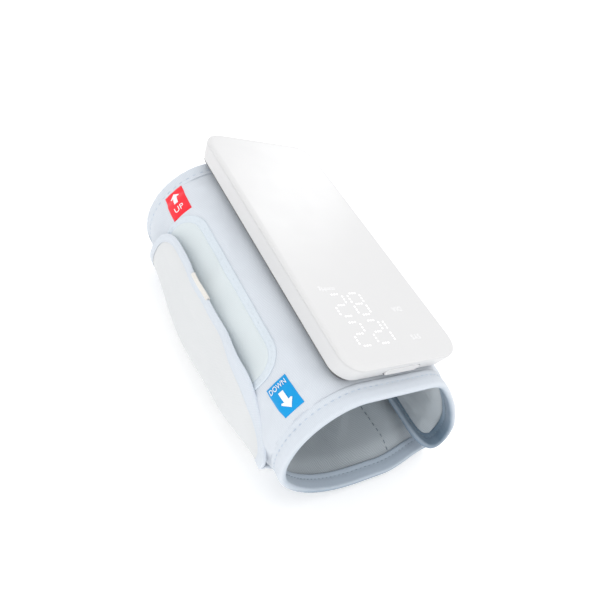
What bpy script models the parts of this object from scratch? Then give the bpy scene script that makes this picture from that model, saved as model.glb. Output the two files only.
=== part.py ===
"""Arm blood pressure cuff with a flat one-piece monitor, a D-ring and a fold-back strap.

Lengths are in millimetres in this file and become metres where a mesh is made.
Design axes: X across the monitor, Y along the arm, Z up. The design origin is under the
middle of the monitor, on the plane of its bottom lip. ORIGIN moves it to the part's own
origin, the middle of the footprint on the ground.
"""

from math import ceil, cos, degrees, pi, radians, sin, sqrt

import bmesh
import bpy
from mathutils import Matrix, Vector

MM = 0.001
GAP = 0.3                       # air between two pieces that touch

# Monitor
MONITOR_W, MONITOR_L = 63.5, 140.0
MONITOR_TOP = 9.3
PARTING_Z = 7.6                 # top edge of the base shell's side wall
CORNER_R = 7.6
SIDE_TAPER, END_TAPER = 0.55, 1.5
SIDE_WALL, END_WALL = 1.4, 2.7
FLOOR_T = 1.2
COVER_T = 1.0
PAN_W, PAN_L, PAN_BOTTOM, PAN_WALL = 50.0, 118.0, -3.0, 0.8
BUTTON_W, BUTTON_H, BUTTON_Z, BUTTON_TRAVEL = 19.0, 3.6, 2.9, 0.8
SCREW_X, SCREW_Y = 21.0, 63.0
PAD_R, BOSS_R = 3.4, 2.3        # screw pad in the tray, screw boss in the cover
SCREW_HEAD_R, SHANK_R = 1.8, 0.95
SHANK_ROOM_R = 1.3
SLOT_PASS = 3.0                 # how far a wall opening's cutter passes each face of the wall

# Works inside the monitor
MOTOR_X, MOTOR_Z = -14.0, 3.0
MOTOR_R, SHAFT_R = 4.7, 0.8
ECCENTRIC_R, THROW = 3.0, 0.5
PUMP_ROOM_R = 3.8
VALVE_X, VALVE_Z = 2.0, 2.4
VALVE_R, PLUNGER_R = 3.8, 1.3
SENSOR_X, NIPPLE_Y = 14.0, 4.5
NIPPLE_R = 2.0
TUBE_R, TUBE_BORE_R, TUBE_Z = 1.5, 0.8, 1.2
LEAD_R = 0.55

# Wall of the cuff: layers by depth below its outer surface
FABRIC_T, PLATE_T, BLADDER_T, LINING_T = 0.9, 0.6, 1.6, 1.2
PLATE_D = FABRIC_T + GAP
BLADDER_D = PLATE_D + PLATE_T + GAP
LINING_D = BLADDER_D + BLADDER_T + GAP
WALL_T = LINING_D + LINING_T
WALL_TOP = -1.2                 # outer surface under the monitor
WALL_BOTTOM = -72.5             # outer surface at the bottom
BODY_END_X = 70.0               # where the strap leaves the cuff body
ROLL_R = 2.5                    # bound edge of the cuff body
FRONT_EDGE_Y, FRONT_LEAN = -74.2, 0.1
BACK_EDGE_Y = 63.5
TONGUE_CORNER_R = 14.0
TAPER_FROM_X = 40.0             # where the body starts to narrow to the strap

# Strap and flap
STRAP_T = 2.0
STRAP_FRONT, STRAP_BACK = -67.0, 52.0
GROUND_Z = -75.5
HINGE_X, HINGE_Z = -40.6, -60.6  # outer face of the strap where the flap peels
STRAP_ROLL_R = 0.95
FLAP_ROLL_R = 1.4
FLAP_TOP_RUN = 14.5

MOUTH_FRONT = STRAP_FRONT - STRAP_ROLL_R - ROLL_R - GAP - 0.2   # body's edge where the strap leaves it
MOUTH_BACK = STRAP_BACK + STRAP_ROLL_R + ROLL_R + GAP + 0.2

# D-ring
WIRE_R = 1.7
RING_BAR_X, RING_BAR_Z = 86.0, -70.3
RING_SLACK = 1.5                # room between the wire and the strap's fold
LOOP_T = 1.0
LOOP_R = WIRE_R + GAP + LOOP_T / 2
LOOP_FRONT, LOOP_BACK = STRAP_FRONT + 8.0, STRAP_BACK - 8.0
RING_CORNER_R = 6.0
RING_SIDE_ROOM = 1.0            # between the strap's edge and the ring's side bars

# Hook patch and labels: place along the wall from the shoulder's start, and along the arm
PATCH_FROM, PATCH_TO, PATCH_FRONT, PATCH_BACK = 22.6, 57.0, -50.5, 40.0
PATCH_T, PATCH_CORNER_R = 0.8, 11.0
LABEL_W, LABEL_L, LABEL_T = 9.0, 14.6, 0.3
UP_LABEL_AT, UP_LABEL_Y, UP_LABEL_TURN = 28.4, 50.2, 0.0
DOWN_LABEL_AT, DOWN_LABEL_Y, DOWN_LABEL_TURN = 29.0, -60.8, 7.5

ARC_STEP = 9.0                  # most degrees of turn in one facet of a bent sheet
FACET_LENGTH = 9.0
LINE_FACET = 6.0
ORIGIN = Vector((-20.21, 6.975, -GROUND_Z))

PARTS, CUTTERS = "blood_pressure_cuff", "cutters"


# ---------------------------------------------------------------- scene and materials

def clear_scene():
    for obj in list(bpy.data.objects):
        bpy.data.objects.remove(obj)
    for name in (PARTS, CUTTERS):
        old = bpy.data.collections.get(name)
        if old:
            bpy.data.collections.remove(old)
        group = bpy.data.collections.new(name)
        bpy.context.scene.collection.children.link(group)


def material(name, colour, roughness, metallic=0.0):
    found = bpy.data.materials.get(name)
    if found:
        return found
    made = bpy.data.materials.new(name)
    made.use_nodes = True
    shader = made.node_tree.nodes["Principled BSDF"]
    shader.inputs["Base Color"].default_value = (*colour, 1.0)
    shader.inputs["Roughness"].default_value = roughness
    shader.inputs["Metallic"].default_value = metallic
    return made


def white_plastic():
    return material("white_plastic", (0.86, 0.86, 0.87), 0.25)


def grey_plastic():
    return material("grey_plastic", (0.12, 0.12, 0.13), 0.5)


def pale_cloth():
    return material("pale_cloth", (0.70, 0.76, 0.83), 0.9)


def strap_cloth():
    return material("strap_cloth", (0.76, 0.78, 0.80), 0.9)


def lining_cloth():
    return material("lining_cloth", (0.40, 0.46, 0.51), 0.95)


def binding_tape():
    return material("binding_tape", (0.76, 0.82, 0.89), 0.8)


def hook_cloth():
    return material("hook_cloth", (0.64, 0.70, 0.72), 0.9)


def steel():
    return material("steel", (0.60, 0.60, 0.62), 0.3, 1.0)


def circuit_green():
    return material("circuit_green", (0.05, 0.25, 0.12), 0.5)


def clear_rubber():
    return material("clear_rubber", (0.75, 0.75, 0.72), 0.6)


# ---------------------------------------------------------------- making objects

def to_world(point):
    return (Vector(point) + ORIGIN) * MM


def add_object(name, mesh, finish, group=PARTS):
    obj = bpy.data.objects.new(name, mesh)
    bpy.data.collections[group].objects.link(obj)
    if finish:
        mesh.materials.append(finish)
    return obj


def from_bmesh(name, bm, finish, group=PARTS, smooth=False):
    """Takes a bmesh in design millimetres and gives it its own origin at the middle of its box."""
    low = Vector([min(v.co[i] for v in bm.verts) for i in range(3)])
    high = Vector([max(v.co[i] for v in bm.verts) for i in range(3)])
    middle = (low + high) / 2
    bmesh.ops.translate(bm, verts=bm.verts[:], vec=-middle)
    bmesh.ops.scale(bm, verts=bm.verts[:], vec=(MM, MM, MM))
    bmesh.ops.recalc_face_normals(bm, faces=bm.faces[:])
    mesh = bpy.data.meshes.new(name)
    bm.to_mesh(mesh)
    bm.free()
    if smooth:
        mesh.shade_smooth()
        mesh.set_sharp_from_angle(angle=radians(35))
    obj = add_object(name, mesh, finish, group)
    obj.location = to_world(middle)
    return obj


def move_origin(obj, point):
    """Puts an object's origin at a point in design millimetres, leaving the mesh where it is."""
    target = to_world(point)
    obj.data.transform(Matrix.Translation(obj.location - target))
    obj.location = target


def box_mesh(low, high, corner_r=0.0, upright="z", segments=5):
    """A box between two corners, its four edges along one axis rounded."""
    bm = bmesh.new()
    bmesh.ops.create_cube(bm, size=1.0)
    low, high = Vector(low), Vector(high)
    bmesh.ops.scale(bm, verts=bm.verts[:], vec=high - low)
    bmesh.ops.translate(bm, verts=bm.verts[:], vec=(low + high) / 2)
    if corner_r:
        axis = "xyz".index(upright)
        edges = [e for e in bm.edges
                 if abs((e.verts[0].co - e.verts[1].co)[axis]) > 0.5 * (high - low)[axis]]
        bmesh.ops.bevel(bm, geom=edges, offset=corner_r, segments=segments,
                        profile=0.5, affect="EDGES")
    return bm


def box(name, low, high, finish, corner_r=0.0, upright="z", segments=5):
    return from_bmesh(name, box_mesh(low, high, corner_r, upright, segments), finish)


def cutter_box(name, low, high, corner_r=0.0, upright="z", segments=5):
    obj = from_bmesh(name, box_mesh(low, high, corner_r, upright, segments), None, CUTTERS)
    return as_cutter(obj)


def as_cutter(obj):
    obj.hide_render = True
    obj.display_type = "WIRE"
    return obj


def rods_mesh(centres, radius, start, end, axis="z", sides=16):
    """Round bars at several centres, all from start to end along one axis."""
    bm = bmesh.new()
    turn = {"z": Matrix.Identity(3), "y": Matrix.Rotation(radians(-90), 3, "X"),
            "x": Matrix.Rotation(radians(90), 3, "Y")}[axis]
    along = turn @ Vector((0, 0, 1))
    for centre in centres:
        made = bmesh.ops.create_cone(bm, cap_ends=True, segments=sides, radius1=radius,
                                     radius2=radius, depth=end - start)
        bmesh.ops.rotate(bm, verts=made["verts"], matrix=turn, cent=(0, 0, 0))
        place = Vector(centre) + along * ((start + end) / 2)
        bmesh.ops.translate(bm, verts=made["verts"], vec=place)
    return bm


def rod(name, centre, radius, start, end, finish, axis="z", sides=16):
    return from_bmesh(name, rods_mesh([centre], radius, start, end, axis, sides),
                      finish, smooth=True)


def cutter_rods(name, centres, radius, start, end, axis="z", sides=16):
    bm = rods_mesh(centres, radius, start, end, axis, sides)
    return as_cutter(from_bmesh(name, bm, None, CUTTERS))


def boolean(obj, tool, operation="DIFFERENCE"):
    modifier = obj.modifiers.new(tool.name, "BOOLEAN")
    modifier.operation = operation
    modifier.solver = "EXACT"
    modifier.object = tool


def wire(name, points, radius, finish, resolution=2, cyclic=False):
    """A round bar along points in design millimetres."""
    curve = bpy.data.curves.new(name, "CURVE")
    curve.dimensions = "3D"
    curve.bevel_depth = radius * MM
    curve.bevel_resolution = resolution
    curve.use_fill_caps = not cyclic
    spline = curve.splines.new("POLY")
    spline.points.add(len(points) - 1)
    for slot, point in zip(spline.points, points):
        slot.co = (*to_world(point), 1.0)
    spline.use_cyclic_u = cyclic
    spline.use_smooth = True
    curve.materials.append(finish)
    obj = bpy.data.objects.new(name, curve)
    bpy.data.collections[PARTS].objects.link(obj)
    return obj


# ---------------------------------------------------------------- paths in the XZ plane

class Trail:
    """A path of lines and arcs. A place on it is a number: piece index plus share of the piece."""

    def __init__(self, x, z, heading, pieces):
        self.pieces = pieces
        self.joints = [(x, z, radians(heading))]
        for piece in pieces:
            self.joints.append(self.advance(self.joints[-1], piece, 1.0))

    @staticmethod
    def advance(state, piece, share):
        x, z, heading = state
        if piece[0] == "line":
            run = piece[1] * share
            return x + run * cos(heading), z + run * sin(heading), heading
        turn = radians(piece[2]) * share
        side = 1 if turn > 0 else -1
        centre_x = x - side * piece[1] * sin(heading)
        centre_z = z + side * piece[1] * cos(heading)
        after = heading + turn
        return (centre_x + side * piece[1] * sin(after),
                centre_z - side * piece[1] * cos(after), after)

    def at(self, place):
        index = min(int(place), len(self.pieces) - 1)
        return self.advance(self.joints[index], self.pieces[index], place - index)

    def length_to(self, place):
        total = 0.0
        for index, piece in enumerate(self.pieces):
            share = min(max(place - index, 0.0), 1.0)
            total += share * (piece[1] if piece[0] == "line" else piece[1] * radians(abs(piece[2])))
        return total

    def place_at(self, length):
        low, high = 0.0, float(len(self.pieces))
        for _ in range(40):
            middle = (low + high) / 2
            low, high = (middle, high) if self.length_to(middle) < length else (low, middle)
        return (low + high) / 2

    def stations(self, start, end):
        """Places from start to end: every joint, and facets of ARC_STEP in each arc."""
        places = [start]
        for index, piece in enumerate(self.pieces):
            first, last = max(start, index), min(end, index + 1)
            if last <= first:
                continue
            count = self.facets(piece)
            inner = [index + k / count for k in range(1, count)]
            places += [p for p in inner if first + 1e-6 < p < last - 1e-6] + [last]
        return places

    @staticmethod
    def facets(piece):
        """The same facets for every layer, so that nested layers stay parallel."""
        if piece[0] == "line":
            return max(1, ceil(piece[1] / LINE_FACET))
        turn = abs(piece[2])
        return max(1, ceil(turn / ARC_STEP), ceil(piece[1] * radians(turn) / FACET_LENGTH))


def left_trail(left_x, shoulder_r, hip_r):
    """Outer surface from under the monitor, round the left side, to the end of the flat bottom."""
    quarter = sin(radians(45))
    side_run = 1.0
    hip_z = WALL_TOP - shoulder_r - side_run - hip_r * quarter
    heel_r = (hip_z - WALL_BOTTOM) / (1 - quarter)
    flat_from = left_x + hip_r * (1 - quarter) + heel_r * quarter
    return Trail(2.0, WALL_TOP, 180, [
        ("line", 2.0 - left_x - shoulder_r), ("arc", shoulder_r, 90), ("line", side_run),
        ("arc", hip_r, 45), ("arc", heel_r, 45), ("line", BODY_END_X - flat_from)])


LEFT_FRONT = left_trail(-45.4, 27.0, 30.0)
LEFT_BACK = left_trail(-47.5, 34.0, 32.0)
RIGHT = Trail(2.0, WALL_TOP, 0, [
    ("line", 15.0), ("arc", 24.0, -36), ("arc", 190.0, -15), ("arc", 30.0, -30),
    ("arc", 9.0, -110), ("arc", 25.0, -14)])
TONGUE_END, BOTTOM_END = -6.0, 6.0
SHOULDER = 1.0                  # place where the left shoulder starts


def wall_point(place, y, depth):
    """A point of the cuff wall. Places below 0 run down the right side, above 0 down the left."""
    if place < 0:
        x, z, heading = RIGHT.at(-place)
        return Vector((x + sin(heading) * depth, y, z - cos(heading) * depth))
    share = (y - FRONT_EDGE_Y) / (BACK_EDGE_Y - FRONT_EDGE_Y)
    front, back = LEFT_FRONT.at(place), LEFT_BACK.at(place)
    x, z, heading = (a + (b - a) * share for a, b in zip(front, back))
    return Vector((x - sin(heading) * depth, y, z + cos(heading) * depth))


def wall_stations(start, end):
    right = RIGHT.stations(max(0.0, -end), -start) if start < 0 else []
    left = LEFT_FRONT.stations(max(0.0, start), end) if end > 0 else []
    places = [-p for p in reversed(right)] + left
    return [p for i, p in enumerate(places) if i == 0 or p - places[i - 1] > 1e-6]


def corner_inset(distance, radius):
    """How far a side edge draws in at this distance from an end with rounded corners."""
    if distance >= radius:
        return 0.0
    reach = radius - distance
    return radius - sqrt(max(radius * radius - reach * reach, 0.0))


def body_edges(place, set_in=0.0):
    """Front and back limits of the cuff body at a place along the wall, set in from its bound edge."""
    x, _, z = wall_point(place, 0.0, 0.0)
    front = FRONT_EDGE_Y + FRONT_LEAN * z
    back = BACK_EDGE_Y
    if place < 0:
        to_end = RIGHT.length_to(-TONGUE_END) - RIGHT.length_to(-place)
        inset = set_in + corner_inset(to_end - set_in, TONGUE_CORNER_R - set_in)
        return front + inset, back - inset
    if place > 4.5 and x > TAPER_FROM_X:
        length = BODY_END_X - TAPER_FROM_X
        share = (x - TAPER_FROM_X) / length
        ease = share * share * (3 - 2 * share)
        slope = 6 * share * (1 - share) / length
        step_front, step_back = MOUTH_FRONT - front, MOUTH_BACK - back
        return (front + step_front * ease + set_in * sqrt(1 + (slope * step_front) ** 2),
                back + step_back * ease - set_in * sqrt(1 + (slope * step_back) ** 2))
    return front + set_in, back - set_in


# ---------------------------------------------------------------- bent sheets

def bent_sheet(name, places, edges, put, thickness, finish, columns=1):
    """An open grid bent over a path, thickened to both sides by Solidify."""
    rows = len(places) - 1
    bm = bmesh.new()
    bmesh.ops.create_grid(bm, x_segments=rows, y_segments=columns, size=0.5)
    for vert in bm.verts:
        place = places[round((vert.co.x + 0.5) * rows)]
        front, back = edges(place)
        vert.co = put(place, front + (back - front) * (vert.co.y + 0.5))
    obj = from_bmesh(name, bm, finish, smooth=True)
    thicken = obj.modifiers.new("thickness", "SOLIDIFY")
    thicken.thickness = thickness * MM
    thicken.offset = 0.0
    thicken.use_even_offset = True
    return obj


def wall_layer(name, start, end, depth, thickness, set_in, finish):
    """One layer of the cuff wall, with its edges set in from the bound edge."""
    middle = depth + thickness / 2
    return bent_sheet(name, wall_stations(start, end), lambda place: body_edges(place, set_in),
                      lambda place, y: wall_point(place, y, middle), thickness, finish)


# ---------------------------------------------------------------- monitor

def monitor_block(name, inset_side, inset_end, low_z, high_z, radius, group=CUTTERS, finish=None):
    half_w, half_l = MONITOR_W / 2 - inset_side, MONITOR_L / 2 - inset_end
    bm = box_mesh((-half_w, -half_l, low_z), (half_w, half_l, high_z), radius)
    obj = from_bmesh(name, bm, finish, group)
    return obj if group == PARTS else as_cutter(obj)


def pan_block(name, inset, low_z, high_z):
    half_w, half_l = PAN_W / 2 - inset, PAN_L / 2 - inset
    return cutter_box(name, (-half_w, -half_l, low_z), (half_w, half_l, high_z), 4.0 - inset)


def screw_places():
    return [(x, y, 0.0) for x in (-SCREW_X, SCREW_X) for y in (-SCREW_Y, SCREW_Y)]


def make_base_shell():
    """Tray with drawn-in lower walls, and a pan that sinks into the cuff to hold the works."""
    bm = box_mesh((-MONITOR_W / 2, -MONITOR_L / 2, 0), (MONITOR_W / 2, MONITOR_L / 2, PARTING_Z),
                  CORNER_R)
    for vert in bm.verts:
        if vert.co.z < PARTING_Z / 2:
            vert.co.x *= 1 - 2 * SIDE_TAPER / MONITOR_W
            vert.co.y *= 1 - 2 * END_TAPER / MONITOR_L
    shell = from_bmesh("monitor_base_shell", bm, white_plastic())
    boolean(shell, pan_block("pan_outside", 0.0, PAN_BOTTOM, 1.0), "UNION")
    boolean(shell, monitor_block("tray_inside", SIDE_WALL, END_WALL, FLOOR_T, 12.0, 5.5))
    boolean(shell, pan_block("pan_inside", PAN_WALL, PAN_BOTTOM + PAN_WALL, 2.0))
    boolean(shell, cutter_rods("screw_pads", screw_places(), PAD_R, 0.6, 2.6), "UNION")
    boolean(shell, cutter_rods("screw_counterbores", screw_places(), SCREW_HEAD_R + 0.4, -1.0, 1.4))
    boolean(shell, cutter_rods("screw_clearance", screw_places(), SHANK_ROOM_R, -1.0, 4.0))
    half, low, high = BUTTON_W / 2 + GAP, BUTTON_Z - BUTTON_H / 2 - GAP, BUTTON_Z + BUTTON_H / 2 + GAP
    outside, inside = MONITOR_L / 2 + SLOT_PASS, MONITOR_L / 2 - END_WALL - SLOT_PASS
    boolean(shell, cutter_box("button_slot", (-half, -outside, low), (half, -inside, high), 2.0, "y"))
    boolean(shell, cutter_box("socket_slot", (5.2, inside, 2.2), (14.8, outside, 6.0), 1.2, "y"))
    boolean(shell, cutter_rods("nipple_hole", [(SENSOR_X, NIPPLE_Y, 0)], NIPPLE_R + 0.5, -4.0, 0.0))
    return shell


def make_top_cover():
    """Lid with a rounded top edge, a skirt inside the tray wall, and four screw bosses."""
    half_w, half_l, low = MONITOR_W / 2, MONITOR_L / 2, PARTING_Z + GAP
    bm = box_mesh((-half_w, -half_l, low), (half_w, half_l, MONITOR_TOP), CORNER_R)
    rim = [e for e in bm.edges if min(v.co.z for v in e.verts) > MONITOR_TOP - 0.01]
    bmesh.ops.bevel(bm, geom=rim, offset=1.2, segments=3, profile=0.5, affect="EDGES")
    cover = from_bmesh("monitor_top_cover", bm, white_plastic())
    skirt = SIDE_WALL + GAP
    boolean(cover, monitor_block("skirt_outside", skirt, END_WALL + GAP, 6.0, 8.6, 5.2), "UNION")
    boolean(cover, monitor_block("cover_inside", skirt + 0.9, END_WALL + GAP + 0.9, 4.0,
                                 MONITOR_TOP - COVER_T, 4.3))
    boolean(cover, cutter_rods("bosses", screw_places(), BOSS_R, 2.9, 8.7), "UNION")
    boolean(cover, cutter_rods("boss_holes", screw_places(), SHANK_ROOM_R, 2.0, 7.4))
    return cover


def make_screw(number, place):
    """Pan-head screw from below: profile from the tip of the shank down to the head."""
    profile = [(0.0, 6.6), (SHANK_R - 0.05, 6.2), (SHANK_R, 1.3), (SCREW_HEAD_R, 1.3),
               (SCREW_HEAD_R, 0.4), (SCREW_HEAD_R - 0.6, 0.1), (0.0, 0.1)]
    bm = bmesh.new()
    verts = [bm.verts.new((r * MM, 0, z * MM)) for r, z in profile]
    for a, b in zip(verts, verts[1:]):
        bm.edges.new((a, b))
    mesh = bpy.data.meshes.new(f"case_screw_{number}")
    bm.to_mesh(mesh)
    bm.free()
    obj = add_object(f"case_screw_{number}", mesh, steel())
    turn = obj.modifiers.new("turn", "SCREW")
    turn.steps = turn.render_steps = 14
    turn.use_merge_vertices = True
    turn.merge_threshold = 0.00001
    turn.use_smooth_shade = True
    obj.location = to_world(place)


def make_button_group():
    low = (-BUTTON_W / 2, -69.5, BUTTON_Z - BUTTON_H / 2)
    high = (BUTTON_W / 2, -66.8, BUTTON_Z + BUTTON_H / 2)
    box("start_button", low, high, white_plastic(), BUTTON_H / 2 - 0.02, "y", 6)
    box("button_switch", (-3.0, -65.7, 1.5), (3.0, -61.6, 3.3), grey_plastic())


def make_boards():
    main_board = box("main_board", (-24.0, -66.0, 3.6), (24.0, -2.0, 4.6), circuit_green(), 1.5)
    boolean(main_board, cutter_rods("board_boss_room", screw_places(), BOSS_R + 0.7, 2.0, 6.0))
    box("display_board", (-21.0, -59.0, 5.2), (21.0, -5.0, 6.0), circuit_green(), 1.5)
    box("led_array", (-17.0, -56.0, 6.3), (17.0, -8.0, 6.8), grey_plastic())
    mask = box("light_mask", (-20.0, -58.5, 7.1), (20.0, -5.5, 8.0), grey_plastic(), 2.0)
    for name, front, back in (("upper_digits_window", -54.5, -34.5),
                              ("lower_digits_window", -29.5, -9.5)):
        boolean(mask, cutter_box(name, (-14.0, front, 6.5), (14.0, back, 9.0), 1.0))
    charge_board = box("charge_board", (-2.0, 59.8, 1.5), (18.0, 66.6, 2.2), circuit_green())
    boolean(charge_board, cutter_rods("charge_boss_room", screw_places(), PAD_R + 0.4, 0.0, 4.0))
    socket = box("charging_socket", (5.5, 61.0, 2.5), (14.5, 69.2, 5.7), steel(), 1.0, "y")
    boolean(socket, cutter_box("socket_mouth", (6.2, 63.0, 3.2), (13.8, 72.0, 5.0), 0.6, "y"))
    box("battery", (-20.0, -57.0, -1.9), (20.0, -3.0, 3.1), grey_plastic(), 2.0)


def make_pump():
    """Motor with an eccentric that works the diaphragm head, all lying in the pan."""
    axis = (MOTOR_X, 0, MOTOR_Z)
    can = rod("motor_can", axis, MOTOR_R, 29.0, 49.0, steel(), "y", 20)
    boolean(can, cutter_rods("can_bore", [axis], SHAFT_R + GAP, 20.0, 46.0, "y"))
    head = box("pump_head", (MOTOR_X - 7, 11.0, -1.7), (MOTOR_X + 7, 28.0, 7.7), grey_plastic(), 1.5)
    boolean(head, cutter_rods("head_room", [axis], PUMP_ROOM_R, 15.0, 30.0, "y", 20))
    shaft = rod("motor_shaft", axis, SHAFT_R, 16.0, 45.0, steel(), "y", 12)
    move_origin(shaft, (MOTOR_X, 30.0, MOTOR_Z))
    cam = rod("pump_eccentric", (MOTOR_X, 0, MOTOR_Z + THROW), ECCENTRIC_R, 17.0, 25.0,
              white_plastic(), "y", 18)
    move_origin(cam, (MOTOR_X, 21.0, MOTOR_Z))
    boolean(cam, cutter_rods("eccentric_bore", [axis], SHAFT_R + 0.05, 10.0, 30.0, "y", 12))


def make_air_line():
    """Manifold with three short tubes to pump, valve and sensor, and a nipple into the bladder."""
    manifold = box("air_manifold", (-21.0, 1.5, -1.8), (20.0, 7.5, 3.4), white_plastic(), 1.0)
    boolean(manifold, cutter_rods("manifold_drop", [(SENSOR_X, NIPPLE_Y, 0)], NIPPLE_R + GAP, -3.0, 0.6))
    for name, x in (("pump_tube", MOTOR_X), ("valve_tube", VALVE_X), ("sensor_tube", SENSOR_X)):
        end = 13.7 if name != "pump_tube" else 10.7
        tube = rod(name, (x, 0, TUBE_Z), TUBE_R, 7.8, end, clear_rubber(), "y", 12)
        boolean(tube, cutter_rods(name + "_bore", [(x, 0, TUBE_Z)], TUBE_BORE_R, 5.0, 16.0, "y", 10))
    box("pressure_sensor", (SENSOR_X - 3.5, 14.0, -1.8), (SENSOR_X + 3.5, 21.0, 2.8), grey_plastic())
    axis = (VALVE_X, 0, VALVE_Z)
    body = rod("valve_body", axis, VALVE_R, 14.0, 30.0, steel(), "y", 18)
    boolean(body, cutter_rods("valve_bore", [axis], PLUNGER_R + GAP, 18.0, 34.0, "y", 14))
    plunger = rod("valve_plunger", axis, PLUNGER_R, 19.0, 32.0, steel(), "y", 12)
    move_origin(plunger, (VALVE_X, 32.0, VALVE_Z))
    nipple = rod("air_nipple", (SENSOR_X, NIPPLE_Y, 0), NIPPLE_R, -4.2, 0.3, white_plastic(), "z", 14)
    boolean(nipple, cutter_rods("nipple_bore", [(SENSOR_X, NIPPLE_Y, 0)], 0.9, -6.0, 2.0, "z", 10))


def make_leads():
    """Two thin insulated leads that join the motor and the battery to the main board."""
    wire("motor_lead", [(-14.0, 49.9, 3.0), (-11.0, 51.4, 2.2), (-6.2, 50.5, 1.0), (-4.6, 46.0, 0.2),
                        (-4.6, 30.0, 0.0), (-4.9, 14.0, 1.4), (-4.6, 9.8, 4.6), (-4.2, 5.0, 5.6),
                        (-4.0, -1.2, 5.0)],
         LEAD_R, grey_plastic(), 1)
    wire("battery_lead", [(22.0, -4.0, 2.9), (22.0, -6.5, 1.6), (22.0, -10.0, 1.0),
                          (22.0, -20.0, 1.0), (22.0, -24.0, 2.6)],
         LEAD_R, steel(), 1)


def make_dock_plate():
    """Thin frame between the monitor and the cuff, with a window for the pan."""
    plate = monitor_block("dock_plate", 1.4, 2.6, -0.9, -GAP, 6.0, PARTS, grey_plastic())
    boolean(plate, pan_block("dock_window", -GAP, -2.0, 1.0))
    boolean(plate, cutter_rods("dock_screw_holes", screw_places(), 2.4, -2.0, 1.0))


def make_monitor():
    make_base_shell()
    make_top_cover()
    for number, place in enumerate(screw_places(), 1):
        make_screw(number, place)
    make_button_group()
    make_boards()
    make_pump()
    make_air_line()
    make_leads()
    make_dock_plate()


# ---------------------------------------------------------------- cuff body

def make_wall():
    """Outer fabric, curl plate, bladder and lining, from the tongue's end to the strap."""
    clear = ROLL_R + GAP
    start = -RIGHT.place_at(RIGHT.length_to(-TONGUE_END) - clear)
    fabric = wall_layer("outer_fabric", start, BOTTOM_END, 0.0, FABRIC_T, clear, pale_cloth())
    boolean(fabric, pan_block("fabric_window", -GAP, -9.0, 3.0))
    plate = wall_layer("curl_plate", -3.5, 5.0, PLATE_D, PLATE_T, 9.0, clear_rubber())
    boolean(plate, pan_block("plate_window", -GAP, -9.0, 3.0))
    bladder = wall_layer("bladder", -2.5, 5.0, BLADDER_D, BLADDER_T, 12.0, clear_rubber())
    boolean(bladder, cutter_rods("bladder_port", [(SENSOR_X, NIPPLE_Y, 0)], NIPPLE_R + GAP, -4.5, 0.0))
    wall_layer("lining", start, BOTTOM_END, LINING_D, LINING_T, clear, lining_cloth())


def make_cuff_binding():
    """The tape round the body's edge: along the front, round the tongue's end and back."""
    middle = WALL_T / 2
    places = wall_stations(TONGUE_END, BOTTOM_END)
    front = [wall_point(p, body_edges(p)[0], middle) for p in reversed(places)]
    back = [wall_point(p, body_edges(p)[1], middle) for p in places]
    wire("cuff_binding", front + back, ROLL_R, binding_tape())


def patch_point(along, y, depth):
    """A point of the left wall, its place given as a length along the wall from the shoulder."""
    place = LEFT_FRONT.place_at(LEFT_FRONT.length_to(SHOULDER) + along)
    return wall_point(place, y, depth)


def surface_piece(name, centre, half_along, half_y, turn, thickness, radius, finish, steps):
    """A thin piece lying on the outer surface, cut as a rounded rectangle and bent with it."""
    bm = bmesh.new()
    bmesh.ops.create_grid(bm, x_segments=steps, y_segments=steps, size=1.0)
    for vert in bm.verts:
        across = half_along * sin(pi / 2 * vert.co.x)
        limit = half_y - corner_inset(half_along - abs(across), radius)
        along_y = vert.co.y * limit
        spin = radians(turn)
        vert.co = patch_point(centre[0] + across * cos(spin) - along_y * sin(spin),
                              centre[1] + across * sin(spin) + along_y * cos(spin),
                              -(GAP + thickness / 2))
    obj = from_bmesh(name, bm, finish, smooth=True)
    thicken = obj.modifiers.new("thickness", "SOLIDIFY")
    thicken.thickness = thickness * MM
    thicken.offset = 0.0
    thicken.use_even_offset = True


def make_patch_and_labels():
    centre = ((PATCH_FROM + PATCH_TO) / 2, (PATCH_FRONT + PATCH_BACK) / 2)
    surface_piece("hook_patch", centre, (PATCH_TO - PATCH_FROM) / 2, (PATCH_BACK - PATCH_FRONT) / 2,
                  0.0, PATCH_T, PATCH_CORNER_R, hook_cloth(), 12)
    red = material("red_label", (0.90, 0.03, 0.04), 0.7)
    blue = material("blue_label", (0.0, 0.33, 0.75), 0.7)
    surface_piece("up_label", (UP_LABEL_AT, UP_LABEL_Y), LABEL_W / 2, LABEL_L / 2, UP_LABEL_TURN,
                  LABEL_T, 0.0, red, 6)
    surface_piece("down_label", (DOWN_LABEL_AT, DOWN_LABEL_Y), LABEL_W / 2, LABEL_L / 2,
                  DOWN_LABEL_TURN, LABEL_T, 0.0, blue, 6)


# ---------------------------------------------------------------- strap, flap and D-ring

def strap_trail():
    """Middle of the strap: out of the cuff, over the ring's bar, back under the cuff, up left."""
    half = STRAP_T / 2
    fold_r = WIRE_R + RING_SLACK + half
    start_z = WALL_BOTTOM + PLATE_D + half
    rise = RING_BAR_Z + fold_r - start_z
    bend_r, bend = 14.0, radians(25)
    slope = (rise - 2 * bend_r * (1 - cos(bend))) / sin(bend)
    start_x = RING_BAR_X - 2 * bend_r * sin(bend) - slope * cos(bend)
    inside = 8.0
    heel_r = (HINGE_Z - GROUND_Z) / (1 - sin(radians(45)))
    flat_end = HINGE_X + heel_r * sin(radians(45))
    return Trail(start_x - inside, start_z, 0, [
        ("line", inside), ("arc", bend_r, 25), ("line", slope), ("arc", bend_r, -25),
        ("arc", fold_r, -180), ("line", RING_BAR_X - flat_end), ("arc", heel_r - half, -45)])


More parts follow.
